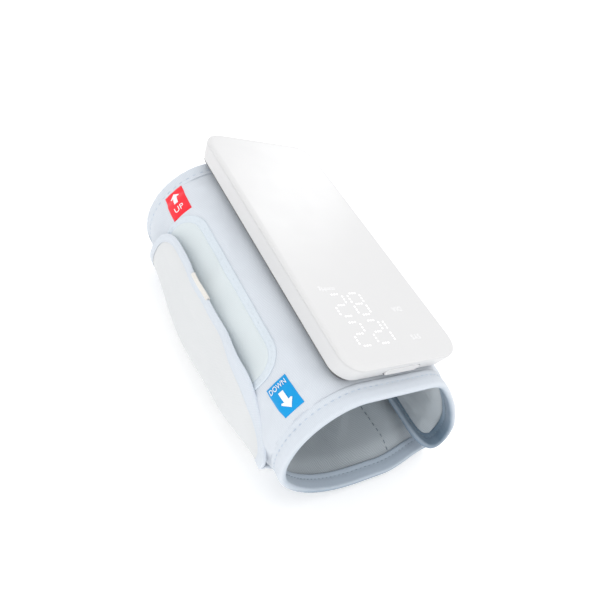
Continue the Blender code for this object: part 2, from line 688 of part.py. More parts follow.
def flap_trail():
    """Middle of the flap, from the peel line to its free end."""
    half = STRAP_T / 2
    left_x = -50.4
    round_r = (HINGE_X - left_x) / (1 - sin(radians(45)))
    start_x, start_z = HINGE_X + half * sin(radians(45)), HINGE_Z + half * sin(radians(45))
    return Trail(start_x, start_z, 135, [("arc", round_r - half, -45), ("line", FLAP_TOP_RUN)])


STRAP = strap_trail()
FLAP = flap_trail()
FLAP_START = 0.01
FLAP_TAPER_FRONT, FLAP_TAPER_BACK = 14.0, 7.5
FLAP_CORNER_R = 14.0


def strap_edges(_place):
    return STRAP_FRONT + STRAP_ROLL_R + GAP, STRAP_BACK - STRAP_ROLL_R - GAP


def flap_edges(place, set_in=0.0):
    """Limits of the flap set in from its bound edge: it narrows to its free end, with round corners."""
    length = FLAP.length_to(2.0)
    here = FLAP.length_to(place)
    share = here / length
    inset = set_in + corner_inset(length - here - set_in, FLAP_CORNER_R - set_in)
    return (STRAP_FRONT + FLAP_TAPER_FRONT * share ** 3 + inset,
            STRAP_BACK - FLAP_TAPER_BACK * share - inset)


def trail_point(trail, place, y):
    x, z, _ = trail.at(place)
    return Vector((x, y, z))


def flap_places(set_in):
    """Closer together towards the free end, where the corners are round."""
    length = FLAP.length_to(2.0) - set_in
    start = FLAP.length_to(FLAP_START)
    count = 12
    return [FLAP.place_at(start + (length - start) * sin(pi / 2 * k / count)) for k in range(count + 1)]


def make_strap():
    places = STRAP.stations(0.0, 6.985)
    bent_sheet("strap", places, strap_edges, lambda p, y: trail_point(STRAP, p, y),
               STRAP_T, strap_cloth())
    outside = STRAP.stations(1.3, 6.985)
    for name, y in (("strap_binding_front", STRAP_FRONT), ("strap_binding_back", STRAP_BACK)):
        wire(name, [trail_point(STRAP, p, y) for p in outside], STRAP_ROLL_R, binding_tape(), 1)


def make_flap():
    clear = FLAP_ROLL_R + 2.5 * GAP
    flap = bent_sheet("flap", flap_places(clear), lambda p: flap_edges(p, clear),
                      lambda p, y: trail_point(FLAP, p, y), STRAP_T, strap_cloth())
    places = flap_places(0.0)
    move_origin(flap, (HINGE_X, 0, HINGE_Z))
    front = [trail_point(FLAP, p, flap_edges(p)[0]) for p in places]
    back = [trail_point(FLAP, p, flap_edges(p)[1]) for p in reversed(places)]
    wire("flap_binding", front + back, FLAP_ROLL_R, binding_tape())
    x, _, z = trail_point(FLAP, 2.0, 0)
    box("pull_tab", (x - 0.9, -7.5, z + FLAP_ROLL_R + GAP), (x + 0.9, 7.5, z + FLAP_ROLL_R + 3.5),
        material("cream_ribbon", (0.82, 0.78, 0.70), 0.8), 0.6, "y", 3)


def loop_trail():
    """Middle of the ring loop: down the tongue's outside, round the bar and back on itself."""
    lift = GAP + LOOP_T / 2
    x, z, heading = RIGHT.at(3.3)
    return Trail(x - sin(heading) * lift, z + cos(heading) * lift, degrees(heading), [
        ("line", 5.0), ("arc", LOOP_R, 205), ("line", 9.0)])


LOOP = loop_trail()


def holder_bar():
    """Centre of the bar that the loop holds: the ring turns on it."""
    x, z, heading = LOOP.at(1.0)
    return Vector((x - sin(heading) * LOOP_R, 0, z + cos(heading) * LOOP_R))


def make_ring():
    """A wire rectangle with round corners, standing in the plane of its two long bars."""
    top = holder_bar()
    bottom = Vector((RING_BAR_X, 0, RING_BAR_Z))
    down = (bottom - top).normalized()
    drop = (bottom - top).length
    front = STRAP_FRONT - STRAP_ROLL_R - RING_SIDE_ROOM - WIRE_R
    back = STRAP_BACK + STRAP_ROLL_R + RING_SIDE_ROOM + WIRE_R
    corner_r, steps = RING_CORNER_R, 4
    corners = [(back, 0, 0), (back, drop, 90), (front, drop, 180), (front, 0, 270)]
    points = []
    for y, along, turn in corners:
        inward_y = -corner_r if y == back else corner_r
        inward_a = corner_r if along == 0 else -corner_r
        for k in range(steps + 1):
            angle = radians(turn - 90 + 90 * k / steps)
            centre = Vector((0, y + inward_y, 0)) + top + down * (along + inward_a)
            points.append(centre + Vector((0, corner_r * cos(angle), 0)) + down * corner_r * sin(angle))
    wire("d_ring", points, WIRE_R, steel(), 4, cyclic=True)
    bent_sheet("ring_loop", LOOP.stations(0.0, 3.0), lambda _place: (LOOP_FRONT, LOOP_BACK),
               lambda p, y: trail_point(LOOP, p, y), LOOP_T, pale_cloth())


def main():
    clear_scene()
    make_monitor()
    make_wall()
    make_cuff_binding()
    make_patch_and_labels()
    make_strap()
    make_flap()
    make_ring()


main()
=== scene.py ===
"""Looks of the arm blood pressure cuff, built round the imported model.

Lengths are in millimetres in the design frame of the part (X across the monitor, Y along the
arm, Z up, origin under the monitor on its bottom lip) and become row-frame metres where a mesh
is made. On a cloth surface s is the length along the cloth and y the place along the arm.
"""

from math import cos, pi, radians, sin

import bmesh
import bpy
import numpy as np
from mathutils import Matrix, Vector, noise
from mathutils.bvhtree import BVHTree


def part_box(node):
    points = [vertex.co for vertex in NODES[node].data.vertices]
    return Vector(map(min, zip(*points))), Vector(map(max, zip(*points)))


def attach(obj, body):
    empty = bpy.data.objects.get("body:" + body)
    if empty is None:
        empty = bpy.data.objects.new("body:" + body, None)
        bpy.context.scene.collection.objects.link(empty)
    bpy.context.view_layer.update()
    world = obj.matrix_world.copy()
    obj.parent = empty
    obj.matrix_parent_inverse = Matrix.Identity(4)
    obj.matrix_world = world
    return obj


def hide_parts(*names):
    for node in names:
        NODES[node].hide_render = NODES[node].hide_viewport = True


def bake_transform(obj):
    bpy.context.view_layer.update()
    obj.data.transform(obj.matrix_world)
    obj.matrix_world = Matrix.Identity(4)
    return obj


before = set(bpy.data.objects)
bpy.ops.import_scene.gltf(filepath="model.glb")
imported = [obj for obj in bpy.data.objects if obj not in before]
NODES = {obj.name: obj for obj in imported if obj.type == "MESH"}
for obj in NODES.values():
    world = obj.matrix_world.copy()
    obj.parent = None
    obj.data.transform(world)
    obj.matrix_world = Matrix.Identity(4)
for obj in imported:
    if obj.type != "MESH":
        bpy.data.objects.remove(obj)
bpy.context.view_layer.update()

MM = 0.001
MONITOR_W, MONITOR_L, MONITOR_TOP, PARTING_Z = 63.5, 140.0, 9.3, 7.6
SIDE_TAPER, END_TAPER, CORNER_R = 0.55, 1.5, 8.8
PAN_W, PAN_L, PAN_BOTTOM, PAN_WALL, COVER_T = 50.0, 118.0, -3.0, 0.8, 1.0
BUTTON_W, BUTTON_H, BUTTON_Z = 19.0, 3.6, 2.9

WALL_T, WALL_TOP, WALL_BOTTOM, BODY_END_X = 5.2, -1.2, -72.5, 74.0
FRONT_EDGE_Y, FRONT_LEAN, BACK_EDGE_Y = -75.0, 0.1, 64.3
TONGUE_CORNER_R, TAPER_FROM_X = 14.0, 24.0
MOUTH_FRONT, MOUTH_BACK = -76.8, 58.3

STRAP_FRONT, STRAP_BACK, STRAP_T, GROUND_Z = -67.0, 52.0, 2.0, -75.5
HINGE_X, HINGE_Z = -40.6, -60.6
WIRE_R, RING_BAR_X, RING_BAR_Z, RING_SLACK = 1.7, 86.0, -70.3, 1.5
LOOP_T = 1.0
LOOP_IN = 8.0                   # how much narrower the ring's loop is than the strap, each side
GAP = 0.3                       # between pieces that lie on each other


def find_origin():
    """Design origin in the row frame, in millimetres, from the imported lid."""
    low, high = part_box("monitor_top_cover")
    middle = (low + high) / 2 / MM
    return np.array([middle.x, middle.y, high.z / MM - MONITOR_TOP])


ORIGIN = find_origin()


def row(points):
    return (np.asarray(points, float) + ORIGIN) * MM


# ---------------------------------------------------------------- curves of the cloth, seen along the arm

def advance(state, piece, share):
    """State (x, z, heading) after a share of a line or an arc (radius, degrees of turn)."""
    x, z, heading = state
    if len(piece) == 1:
        return x + piece[0] * share * cos(heading), z + piece[0] * share * sin(heading), heading
    radius, turn = piece[0], radians(piece[1])
    side = 1 if turn > 0 else -1
    after = heading + turn * share
    return (x + side * radius * (sin(after) - sin(heading)),
            z - side * radius * (cos(after) - cos(heading)), after)


def piece_length(piece):
    return piece[0] if len(piece) == 1 else piece[0] * radians(abs(piece[1]))


def trail_table(x, z, heading, pieces, beyond=0.0, steps=240):
    """Rows of s, x, z and the left-hand normal along a chain of lines and arcs."""
    state, rows, total = (x, z, radians(heading)), [], 0.0
    for number, piece in enumerate(pieces):
        last = number == len(pieces) - 1
        length = piece_length(piece)
        stretch = 1.0 + beyond / length if last else 1.0
        for k in range(steps + (1 if last else 0)):
            share = stretch * k / steps
            px, pz, turn = advance(state, piece, share)
            rows.append((total + share * length, px, pz, -sin(turn), cos(turn)))
        state, total = advance(state, piece, 1.0), total + length
    return np.array(rows), total


def on_trail(table, s, y, out):
    """Points out millimetres along the normal from a trail that runs straight along the arm."""
    s, y, out = np.broadcast_arrays(np.asarray(s, float), y, out)
    x, z, nx, nz = (np.interp(s, table[:, 0], table[:, k]) for k in range(1, 5))
    return np.stack([x + nx * out, y, z + nz * out], -1)


def left_pieces(left_x, shoulder_r, hip_r):
    quarter = sin(radians(45))
    hip_z = WALL_TOP - shoulder_r - 1.0 - hip_r * quarter
    heel_r = (hip_z - WALL_BOTTOM) / (1 - quarter)
    flat_from = left_x + hip_r * (1 - quarter) + heel_r * quarter
    return [(2.0 - left_x - shoulder_r,), (shoulder_r, 90), (1.0,), (hip_r, 45), (heel_r, 45),
            (BODY_END_X - flat_from,)]


RIGHT_PIECES = [(15.0,), (24.0, -36), (190.0, -15), (30.0, -30), (9.0, -110), (25.0, -14)]
LEFT_FRONT_PIECES = left_pieces(-45.4, 27.0, 30.0)
LEFT_BACK_PIECES = left_pieces(-47.5, 34.0, 32.0)
SHOULDER_S = LEFT_FRONT_PIECES[0][0]
BEYOND = 8.0                    # how far the tables run past the cloth's ends


def wall_tables():
    """s, then x, z and outward normal of the front and of the back section, from tongue to mouth."""
    right, right_length = trail_table(2.0, WALL_TOP, 0, RIGHT_PIECES, BEYOND)
    front, left_length = trail_table(2.0, WALL_TOP, 180, LEFT_FRONT_PIECES, BEYOND)
    back, _ = trail_table(2.0, WALL_TOP, 180, LEFT_BACK_PIECES, BEYOND)
    right = right[::-1].copy()
    right[:, 0] *= -1
    front[:, 3:] *= -1
    back[:, 3:] *= -1
    s = np.concatenate([right[:-1, 0], front[:, 0]])
    return (s, np.vstack([right[:-1, 1:], front[:, 1:]]), np.vstack([right[:-1, 1:], back[:, 1:]]),
            -right_length, left_length)


WALL_S, WALL_FRONT, WALL_BACK, TONGUE_S, MOUTH_S = wall_tables()


def wall(s, y, depth):
    """Points of the cuff's wall at a depth below its outer surface."""
    s, y, depth = np.broadcast_arrays(np.asarray(s, float), y, depth)
    share = (y - FRONT_EDGE_Y) / (BACK_EDGE_Y - FRONT_EDGE_Y)
    x, z, nx, nz = (np.interp(s, WALL_S, WALL_FRONT[:, k]) * (1 - share)
                    + np.interp(s, WALL_S, WALL_BACK[:, k]) * share for k in range(4))
    size = np.hypot(nx, nz)
    return np.stack([x - nx / size * depth, y, z - nz / size * depth], -1)


def smooth(value):
    value = np.clip(value, 0.0, 1.0)
    return value * value * (3 - 2 * value)


def body_sides(s):
    """Front and back limits of the cuff body, before the round corners of the tongue."""
    middle = wall(s, 0.0, 0.0)
    x, z = middle[..., 0], middle[..., 2]
    share = np.where(np.asarray(s) > 0.6 * MOUTH_S, (x - TAPER_FROM_X) / (BODY_END_X - TAPER_FROM_X), 0.0)
    ease = smooth(share)
    front = FRONT_EDGE_Y + FRONT_LEAN * z
    return front + (MOUTH_FRONT - front) * ease, BACK_EDGE_Y + (MOUTH_BACK - BACK_EDGE_Y) * ease


def corner_inset(distance, radius):
    reach = np.clip(radius - distance, 0.0, radius)
    return radius - np.sqrt(radius * radius - reach * reach)


# Strap and flap: one length of cloth, from inside the cuff's mouth round the ring to the free end
FLAP_TOP_RUN = 14.8


def strap_pieces():
    half = STRAP_T / 2
    fold_r = WIRE_R + RING_SLACK + half
    start_z = WALL_BOTTOM + 1.2 + half
    rise = RING_BAR_Z + fold_r - start_z
    bend_r, bend = 14.0, radians(25)
    slope = (rise - 2 * bend_r * (1 - cos(bend))) / sin(bend)
    start_x = RING_BAR_X - 2 * bend_r * sin(bend) - slope * cos(bend)
    heel_r = (HINGE_Z - GROUND_Z) / (1 - sin(radians(45)))
    flat_end = HINGE_X + heel_r * sin(radians(45))
    left_x = -50.4
    round_r = (HINGE_X - left_x) / (1 - sin(radians(45)))
    pieces = [(8.0,), (bend_r, 25), (slope,), (bend_r, -25), (fold_r, -180),
              (RING_BAR_X - flat_end,), (heel_r - half, -45), (round_r - half, -45), (FLAP_TOP_RUN,)]
    return start_x - 8.0, start_z, pieces


STRAP_X, STRAP_Z, STRAP_PIECES = strap_pieces()
STRAP_TABLE, FLAP_END_S = trail_table(STRAP_X, STRAP_Z, 0, STRAP_PIECES, BEYOND)
HINGE_S = sum(piece_length(p) for p in STRAP_PIECES[:7])
STRAP_OUT_S = 9.0               # where the strap's own tape starts, just outside the mouth


def flap_share(s):
    return np.clip((np.asarray(s, float) - HINGE_S) / (FLAP_END_S - HINGE_S), 0.0, 1.2)


def flap_lean(s, y):
    """How far the cloth stands off its plain curve: a full heel, tucked in at the front."""
    share = flap_share(s)
    run = s - HINGE_S
    at_heel = smooth((run + 27.0) / 26.0) * (1 - smooth((run - 6.0) / 20.0))
    belly = 3.3 * np.exp(-((y - 3.0) / 27.0) ** 2) * at_heel
    tuck = -4.6 * smooth((-36.0 - y) / 31.0) * smooth((run + 34.0) / 22.0)
    lift = 0.7 * np.exp(-((y - 4.0) / 24.0) ** 2) - 0.7 * np.exp(-((y + 28.0) / 15.0) ** 2)
    ripple = 0.25 * np.sin(y / 6.5 + 0.8) + 0.2 * np.sin(y / 3.1)
    return belly + tuck + (lift + ripple * share) * smooth((share - 0.3) / 0.7)


def strap(s, y, out):
    """Points of the strap and flap, out millimetres from the middle towards the outer face."""
    return on_trail(STRAP_TABLE, s, y, out + flap_lean(s, y))


# Outline of the flap: (run from the hinge, place along the arm), front side first
FLAP_OUTLINE = [(-6.0, -67.2), (5.0, -69.6), (14.0, -71.6), (20.0, -71.4), (25.0, -68.0), (29.5, -62.0),
                (33.5, -56.0), (37.0, -50.5), (39.3, -44.5), (40.1, -36.0), (40.1, -16.0), (40.2, 6.0),
                (40.1, 20.0), (39.3, 28.0), (36.8, 35.0), (32.5, 40.0), (26.5, 43.2), (19.0, 45.6),
                (11.0, 48.2), (3.0, 50.8), (-6.0, 51.9)]


def rounded_path(points, steps=8):
    """A smooth line through points (Catmull-Rom)."""
    points = np.asarray(points, float)
    padded = np.vstack([2 * points[0] - points[1], points, 2 * points[-1] - points[-2]])
    t = np.linspace(0, 1, steps, endpoint=False)[:, None]
    pieces = []
    for a, b, c, d in zip(padded, padded[1:], padded[2:], padded[3:]):
        pieces.append(0.5 * (2 * b + (c - a) * t + (2 * a - 5 * b + 4 * c - d) * t ** 2
                             + (3 * b - a - 3 * c + d) * t ** 3))
    return np.vstack(pieces + [points[-1:]])


# ---------------------------------------------------------------- meshes

def scene_object(name, data):
    obj = bpy.data.objects.new(name, data)
    bpy.context.scene.collection.objects.link(obj)
    return obj


def evaluated(obj):
    return obj.evaluated_get(bpy.context.evaluated_depsgraph_get())


def thickened(obj, thick, offset):
    solid = obj.modifiers.new("thickness", "SOLIDIFY")
    solid.thickness = thick * MM
    solid.offset = offset


def new_object(name, verts, faces, uvs=None, smooth_shade=True):
    mesh = bpy.data.meshes.new(name)
    mesh.from_pydata(row(verts).tolist(), [], faces)
    if uvs is not None:
        layer = mesh.uv_layers.new(name="cloth")
        corner = np.zeros(len(mesh.loops), np.int32)
        mesh.loops.foreach_get("vertex_index", corner)
        layer.data.foreach_set("uv", np.asarray(uvs, np.float32)[corner].ravel())
    if smooth_shade:
        mesh.shade_smooth()
    return scene_object(name, mesh)


def grid_faces(rows, columns, start=0, flip=False, wrap=False):
    faces = []
    for i in range(rows - 1):
        for j in range(columns if wrap else columns - 1):
            k = (j + 1) % columns
            quad = [start + i * columns + j, start + (i + 1) * columns + j,
                    start + (i + 1) * columns + k, start + i * columns + k]
            faces.append(tuple(reversed(quad)) if flip else tuple(quad))
    return faces


def rim_faces(rows, columns):
    """Joins the borders of two grids of the same size, the second stored after the first."""
    size = rows * columns
    ring = ([(i, 0) for i in range(rows)] + [(rows - 1, j) for j in range(1, columns)]
            + [(i, columns - 1) for i in range(rows - 2, -1, -1)]
            + [(0, j) for j in range(columns - 2, 0, -1)])
    ids = [i * columns + j for i, j in ring]
    return [(a, b, b + size, a + size) for a, b in zip(ids, ids[1:] + ids[:1])]


def end_caps(rows, columns, start=0):
    """Faces over the first and the last ring of a wrapped grid."""
    last = start + (rows - 1) * columns
    return [tuple(start + k for k in reversed(range(columns))), tuple(last + k for k in range(columns))]


def joined_ends(rows, columns):
    """Faces from the last ring of a wrapped grid round to the first."""
    last = (rows - 1) * columns
    return [(last + j, j, (j + 1) % columns, last + (j + 1) % columns) for j in range(columns)]


def outward(obj):
    bm = bmesh.new()
    bm.from_mesh(obj.data)
    bmesh.ops.recalc_face_normals(bm, faces=bm.faces[:])
    bm.to_mesh(obj.data)
    bm.free()
    return obj


def thick_sheet(name, top, bottom, uv):
    """A closed sheet between two grids of points."""
    rows, columns = top.shape[:2]
    size = rows * columns
    verts = np.concatenate([top.reshape(-1, 3), bottom.reshape(-1, 3)])
    faces = grid_faces(rows, columns) + grid_faces(rows, columns, size, flip=True) + rim_faces(rows, columns)
    return outward(new_object(name, verts, faces, np.concatenate([uv.reshape(-1, 2)] * 2)))


def soft_lumps(s, y, pitch_s, pitch_y, seed):
    """Smooth lumps over a net of places on a cloth, the same on each run."""
    lumps = [noise.noise((a / pitch_s, b / pitch_y, seed)) for a, b in zip(s.ravel(), y.ravel())]
    return np.array(lumps).reshape(s.shape)


def lengths_along(points):
    return np.concatenate([[0.0], np.cumsum(np.linalg.norm(np.diff(points, axis=0), axis=1))])


def spaced_line(points, step, closed=False):
    """The same line with points a step apart."""
    points = np.asarray(points, float)
    if closed:
        points = np.vstack([points, points[:1]])
    along = lengths_along(points)
    count = max(2, int(round(along[-1] / step)))
    want = np.linspace(0, along[-1], count + 1)
    if closed:
        want = want[:-1]
    return np.stack([np.interp(want, along, points[:, k]) for k in range(points.shape[1])], -1)


def side_normals(line, side, closed=False):
    """Unit vectors square to a flat line, on its left (1) or right (-1)."""
    if closed:
        ahead = np.roll(line, -1, 0) - np.roll(line, 1, 0)
    else:
        ahead = np.gradient(line, axis=0)
    ahead /= np.linalg.norm(ahead, axis=1, keepdims=True)
    return side * np.stack([-ahead[:, 1], ahead[:, 0]], -1)


def edge_sweep(name, surface, line, inward, profile, closed=False, pucker=0.0, swell=None, widen=None):
    """A tape along a line on a cloth: profile points are (distance in from the line, height)."""
    profile = np.asarray(profile, float)
    along = lengths_along(line)
    step_in, high = profile[:, 0], profile[:, 1]
    scale = np.ones(len(line)) if swell is None else swell(line)
    wave = pucker * (0.6 * np.sin(along * 2 * pi / 3.2) + np.array(
        [1.5 * noise.noise((a / 7.0, 3.1, 0.0)) + 0.8 * noise.noise((a / 2.6, 9.7, 0.0)) for a in along]))
    spread = np.ones(len(line)) if widen is None else widen(line)
    steps = np.where(step_in[None, :] > 0, step_in[None, :] * spread[:, None], step_in[None, :])
    places = line[:, None, :] + inward[:, None, :] * steps[..., None]
    rise = high[None, :] * scale[:, None] + np.sign(high)[None, :] * np.minimum(
        wave[:, None], 0.8 * pucker) * smooth(np.abs(high) / 1.5)[None, :]
    points = surface(places[..., 0], places[..., 1], rise)
    rows, columns = points.shape[:2]
    faces = grid_faces(rows, columns, wrap=True)
    faces += joined_ends(rows, columns) if closed else end_caps(rows, columns)
    across = lengths_along(np.vstack([profile, profile[:1]]))[:-1]
    uv = np.stack(np.meshgrid(along, across, indexing="ij"), -1).reshape(-1, 2)
    return outward(new_object(name, points.reshape(-1, 3), faces, uv))


def stitch_row(name, surface, line, inward, distance, high, pitch=3.2, length=2.1, radius=0.22):
    """A row of thread stitches, each a small pillow half sunk in the cloth."""
    spots = line + inward * distance
    along = lengths_along(spots)
    verts, faces = [], []
    sides, rings = 6, 5
    count = int(along[-1] / pitch)
    for n in range(count):
        centre = (n + 0.5) * pitch
        steps = np.linspace(-0.5, 0.5, rings) * length + centre
        middle = np.stack([np.interp(steps, along, spots[:, k]) for k in range(2)], -1)
        turn = np.stack([np.interp(steps, along, inward[:, k]) for k in range(2)], -1)
        sink = -0.28 * (2 * np.abs(steps - centre) / length) ** 3
        base = len(verts)
        for ring in range(rings):
            thin = radius * (0.55 if ring in (0, rings - 1) else 1.0)
            for k in range(sides):
                angle = 2 * pi * k / sides
                place = middle[ring] + turn[ring] * thin * cos(angle)
                up = 1 if high >= 0 else -1
                verts.append(surface(place[0], place[1], high + up * (sink[ring] + thin * sin(angle))))
        faces += grid_faces(rings, sides, base, wrap=True) + end_caps(rings, sides, base)
    return outward(new_object(name, np.array(verts), faces))


# ---------------------------------------------------------------- materials

def plug(tree, node, values):
    """Sets a node's inputs, each to a value or to the output of another node."""
    for key, value in values.items():
        if isinstance(value, bpy.types.NodeSocket):
            tree.links.new(value, node.inputs[key])
        else:
            node.inputs[key].default_value = value


def made_node(tree, kind, values=None, **settings):
    node = tree.nodes.new(kind)
    for key, value in settings.items():
        setattr(node, key, value)
    plug(tree, node, values or {})
    return node


def maths(tree, operation, *values):
    return made_node(tree, "ShaderNodeMath", dict(enumerate(values)), operation=operation).outputs[0]


def mixed(tree, factor, first, second):
    inputs = {0: factor, 6: first, 7: second}
    return made_node(tree, "ShaderNodeMix", inputs, data_type="RGBA").outputs[2]


def clouds(tree, scale, detail=2.0, offset=0.0):
    """Soft noise over the object's own space, with scale in lumps per metre."""
    place = made_node(tree, "ShaderNodeTexCoord").outputs["Object"]
    moved = made_node(tree, "ShaderNodeMapping", {"Vector": place, "Location": (offset, offset, 0.0)})
    return made_node(tree, "ShaderNodeTexNoise",
                     {"Vector": moved.outputs[0], "Scale": scale, "Detail": detail}).outputs[0]


def start_material(name):
    material = bpy.data.materials.new(name)
    material.use_nodes = True
    return material, material.node_tree, material.node_tree.nodes["Principled BSDF"]


def bumped(tree, shader, colour, rough, height, strength, distance):
    """Sets the colour, roughness and relief that a material's nodes have worked out."""
    relief = made_node(tree, "ShaderNodeBump", {"Height": height, "Strength": strength, "Distance": distance})
    plug(tree, shader, {"Base Color": colour, "Roughness": rough, "Normal": relief.outputs[0]})


def scaled(colour, factors):
    return (*(c * f for c, f in zip(colour, factors)), 1.0)


def away_from(tree, place, middle):
    return maths(tree, "ABSOLUTE", maths(tree, "SUBTRACT", place, middle))


def ramp(tree, value, start, end, low=0.0, high=1.0):
    """A value's share of the way from start to end, held at low and high beyond them."""
    return made_node(tree, "ShaderNodeMapRange", {0: value, 1: start, 2: end, 3: low, 4: high}).outputs[0]


def painted_tape_shade(tree, colour, dark, along, across, turned_in, end_middle, end_half):
    """Painted shade on the tape: darker where it turns in, on its underside near the ground, and most at the
    tongue's end.
    """
    own = made_node(tree, "ShaderNodeTexCoord")
    facing = made_node(tree, "ShaderNodeSeparateXYZ", {0: own.outputs["Normal"]}).outputs[2]
    height = made_node(tree, "ShaderNodeSeparateXYZ", {0: own.outputs["Object"]}).outputs[2]
    inside = ramp(tree, across, *turned_in)
    low = ramp(tree, height, 0.028, 0.012)
    sideways = maths(tree, "MULTIPLY", inside, ramp(tree, facing, 0.1, 0.7, 1.0, 0.55))
    below = maths(tree, "MULTIPLY", ramp(tree, facing, 1.0, 0.25, 0.15, 0.95), low)
    colour = mixed(tree, maths(tree, "MAXIMUM", sideways, below), colour, scaled(dark, (0.42, 0.52, 0.60)))
    at_end = ramp(tree, away_from(tree, along, end_middle), end_half + 20.0, end_half)
    under = maths(tree, "MULTIPLY", ramp(tree, facing, 0.35, -0.45, 0.0, 0.9), low)
    deep = maths(tree, "MAXIMUM", maths(tree, "MULTIPLY", inside, at_end), under)
    return mixed(tree, maths(tree, "MULTIPLY", deep, 0.85), colour, scaled(dark, (0.20, 0.28, 0.34)))


def waves(tree, u, v, across, along, pitch):
    """A sine wave over the cloth's own coordinates, with its direction and pitch in millimetres."""
    place = maths(tree, "ADD", maths(tree, "MULTIPLY", u, across), maths(tree, "MULTIPLY", v, along))
    return maths(tree, "SINE", maths(tree, "MULTIPLY", place, 2 * pi / pitch))


def cloth_material(name, light, dark, kind, pitch=0.95, bump=0.4, rough=0.85, sheen=0.15, contrast=0.6,
                   fuzz=0.25, depth=0.00012, inner=None, painted_light_ends=None):
    material, tree, shader = start_material(name)
    places = made_node(tree, "ShaderNodeSeparateXYZ",
                       {0: made_node(tree, "ShaderNodeUVMap", uv_map="cloth").outputs[0]})
    drift = maths(tree, "MULTIPLY", clouds(tree, 300.0, 1.0), pitch * 0.9)
    u = maths(tree, "ADD", places.outputs[0], drift)
    v = maths(tree, "ADD", places.outputs[1], drift)
    if kind == "loop":
        yarn = maths(tree, "MULTIPLY", waves(tree, u, v, 1.0, 0.45, pitch),
                     waves(tree, u, v, -0.3, 1.0, pitch * 1.25))
    elif kind == "rib":
        yarn = maths(tree, "ADD", waves(tree, u, v, 0.82, 0.57, pitch),
                     maths(tree, "MULTIPLY", waves(tree, u, v, -0.57, 0.82, pitch * 0.6), 0.35))
    elif kind == "tape":
        yarn = maths(tree, "ADD", waves(tree, u, v, 1.0, 0.0, pitch),
                     maths(tree, "MULTIPLY", waves(tree, u, v, 0.0, 1.0, pitch * 0.8), 0.4))
    else:
        yarn = maths(tree, "MAXIMUM", maths(tree, "MULTIPLY", waves(tree, u, v, 1.0, 0.5, pitch),
                                            waves(tree, u, v, -0.5, 1.0, pitch)), 0.0)
    half = maths(tree, "MULTIPLY_ADD", yarn, 0.5, 0.5)
    fuzzy = maths(tree, "ADD", maths(tree, "MULTIPLY", half, 1.0 - fuzz),
                  maths(tree, "MULTIPLY", clouds(tree, 2600.0, 3.0), fuzz))
    patches = clouds(tree, 38.0, 3.0, 2.0)
    tone = maths(tree, "MULTIPLY", maths(tree, "SUBTRACT", 1.0, fuzzy), contrast)
    tone = maths(tree, "ADD", tone, maths(tree, "MULTIPLY", maths(tree, "SUBTRACT", patches, 0.5), 0.25))
    colour = mixed(tree, tone, (*light, 1.0), (*dark, 1.0))
    # Painted light: the colour turns paler towards both ends of the cloth's length, where the inside of the
    # cuff is lit more.
    if painted_light_ends:
        middle, start, end = painted_light_ends
        painted_light = ramp(tree, away_from(tree, places.outputs[0], middle), start, end)
        colour = mixed(tree, painted_light, colour, scaled(light, (1.35, 1.35, 1.35)))
    # Painted shade on a binding tape: darker where it turns in, underneath near the ground, and at the
    # tongue's end.
    if inner:
        colour = painted_tape_shade(tree, colour, dark, places.outputs[0], places.outputs[1], *inner)
    uneven = ramp(tree, patches, 0.0, 1.0, rough - 0.06, rough + 0.06)
    bumped(tree, shader, colour, uneven, fuzzy, bump, depth)
    plug(tree, shader, {"Sheen Weight": sheen, "Sheen Roughness": 0.5, "Specular IOR Level": 0.25})
    return material


def moulded(name, colour, rough, edge_wear_and_shade=None, grain=0.04, glow=0.0):
    """Moulded plastic: fine grain in the bump, uneven gloss, and a colour on sharp edges, lighter as wear and
    darker as painted shade.
    """
    material, tree, shader = start_material(name)
    lumps = clouds(tree, 90.0, 4.0)
    fine = clouds(tree, 4200.0, 2.0)
    edge_wear_and_shade = edge_wear_and_shade or tuple(min(1.0, c * 1.05 + 0.02) for c in colour)
    sharp = made_node(tree, "ShaderNodeNewGeometry").outputs["Pointiness"]
    edge = ramp(tree, sharp, 0.52, 0.62, 0.0, 0.6)
    shade = scaled(colour, (0.96, 0.96, 0.96))
    base = mixed(tree, maths(tree, "MULTIPLY", lumps, 0.6), (*colour, 1.0), shade)
    bumped(tree, shader, mixed(tree, edge, base, (*edge_wear_and_shade, 1.0)),
           ramp(tree, lumps, 0.0, 1.0, rough - 0.04, rough + 0.06), fine, grain, 0.00004)
    if glow:
        plug(tree, shader, {"Emission Color": (*colour, 1.0), "Emission Strength": glow})
    return material


def metal(name, colour, rough, brush=(40.0, 2400.0, 2400.0)):
    """Drawn metal: fine lines along the wire or the turning direction, and faint handling marks."""
    material, tree, shader = start_material(name)
    place = made_node(tree, "ShaderNodeTexCoord").outputs["Object"]
    drawn = made_node(tree, "ShaderNodeMapping", {"Vector": place, "Scale": brush})
    lines = made_node(tree, "ShaderNodeTexNoise", {"Vector": drawn.outputs[0], "Scale": 1.0, "Detail": 3.0})
    marks = clouds(tree, 160.0, 3.0)
    base = mixed(tree, maths(tree, "MULTIPLY", marks, 0.7), (*colour, 1.0), scaled(colour, (0.8, 0.8, 0.8)))
    bumped(tree, shader, base, ramp(tree, lines.outputs[0], 0.0, 1.0, rough - 0.06, rough + 0.12),
           lines.outputs[0], 0.08, 0.00005)
    plug(tree, shader, {"Metallic": 1.0})
    return material


def board_material(name):
    """Green circuit board with copper tracks under the lacquer."""
    material, tree, shader = start_material(name)
    place = made_node(tree, "ShaderNodeTexCoord").outputs["Object"]
    cells = made_node(tree, "ShaderNodeTexVoronoi", {"Vector": place, "Scale": 420.0},
                      feature="DISTANCE_TO_EDGE")
    track = ramp(tree, cells.outputs[0], 0.03, 0.06, 1.0, 0.0)
    bumped(tree, shader, mixed(tree, track, (0.02, 0.16, 0.07, 1), (0.10, 0.32, 0.12, 1)),
           0.35, track, 0.3, 0.00005)
    return material


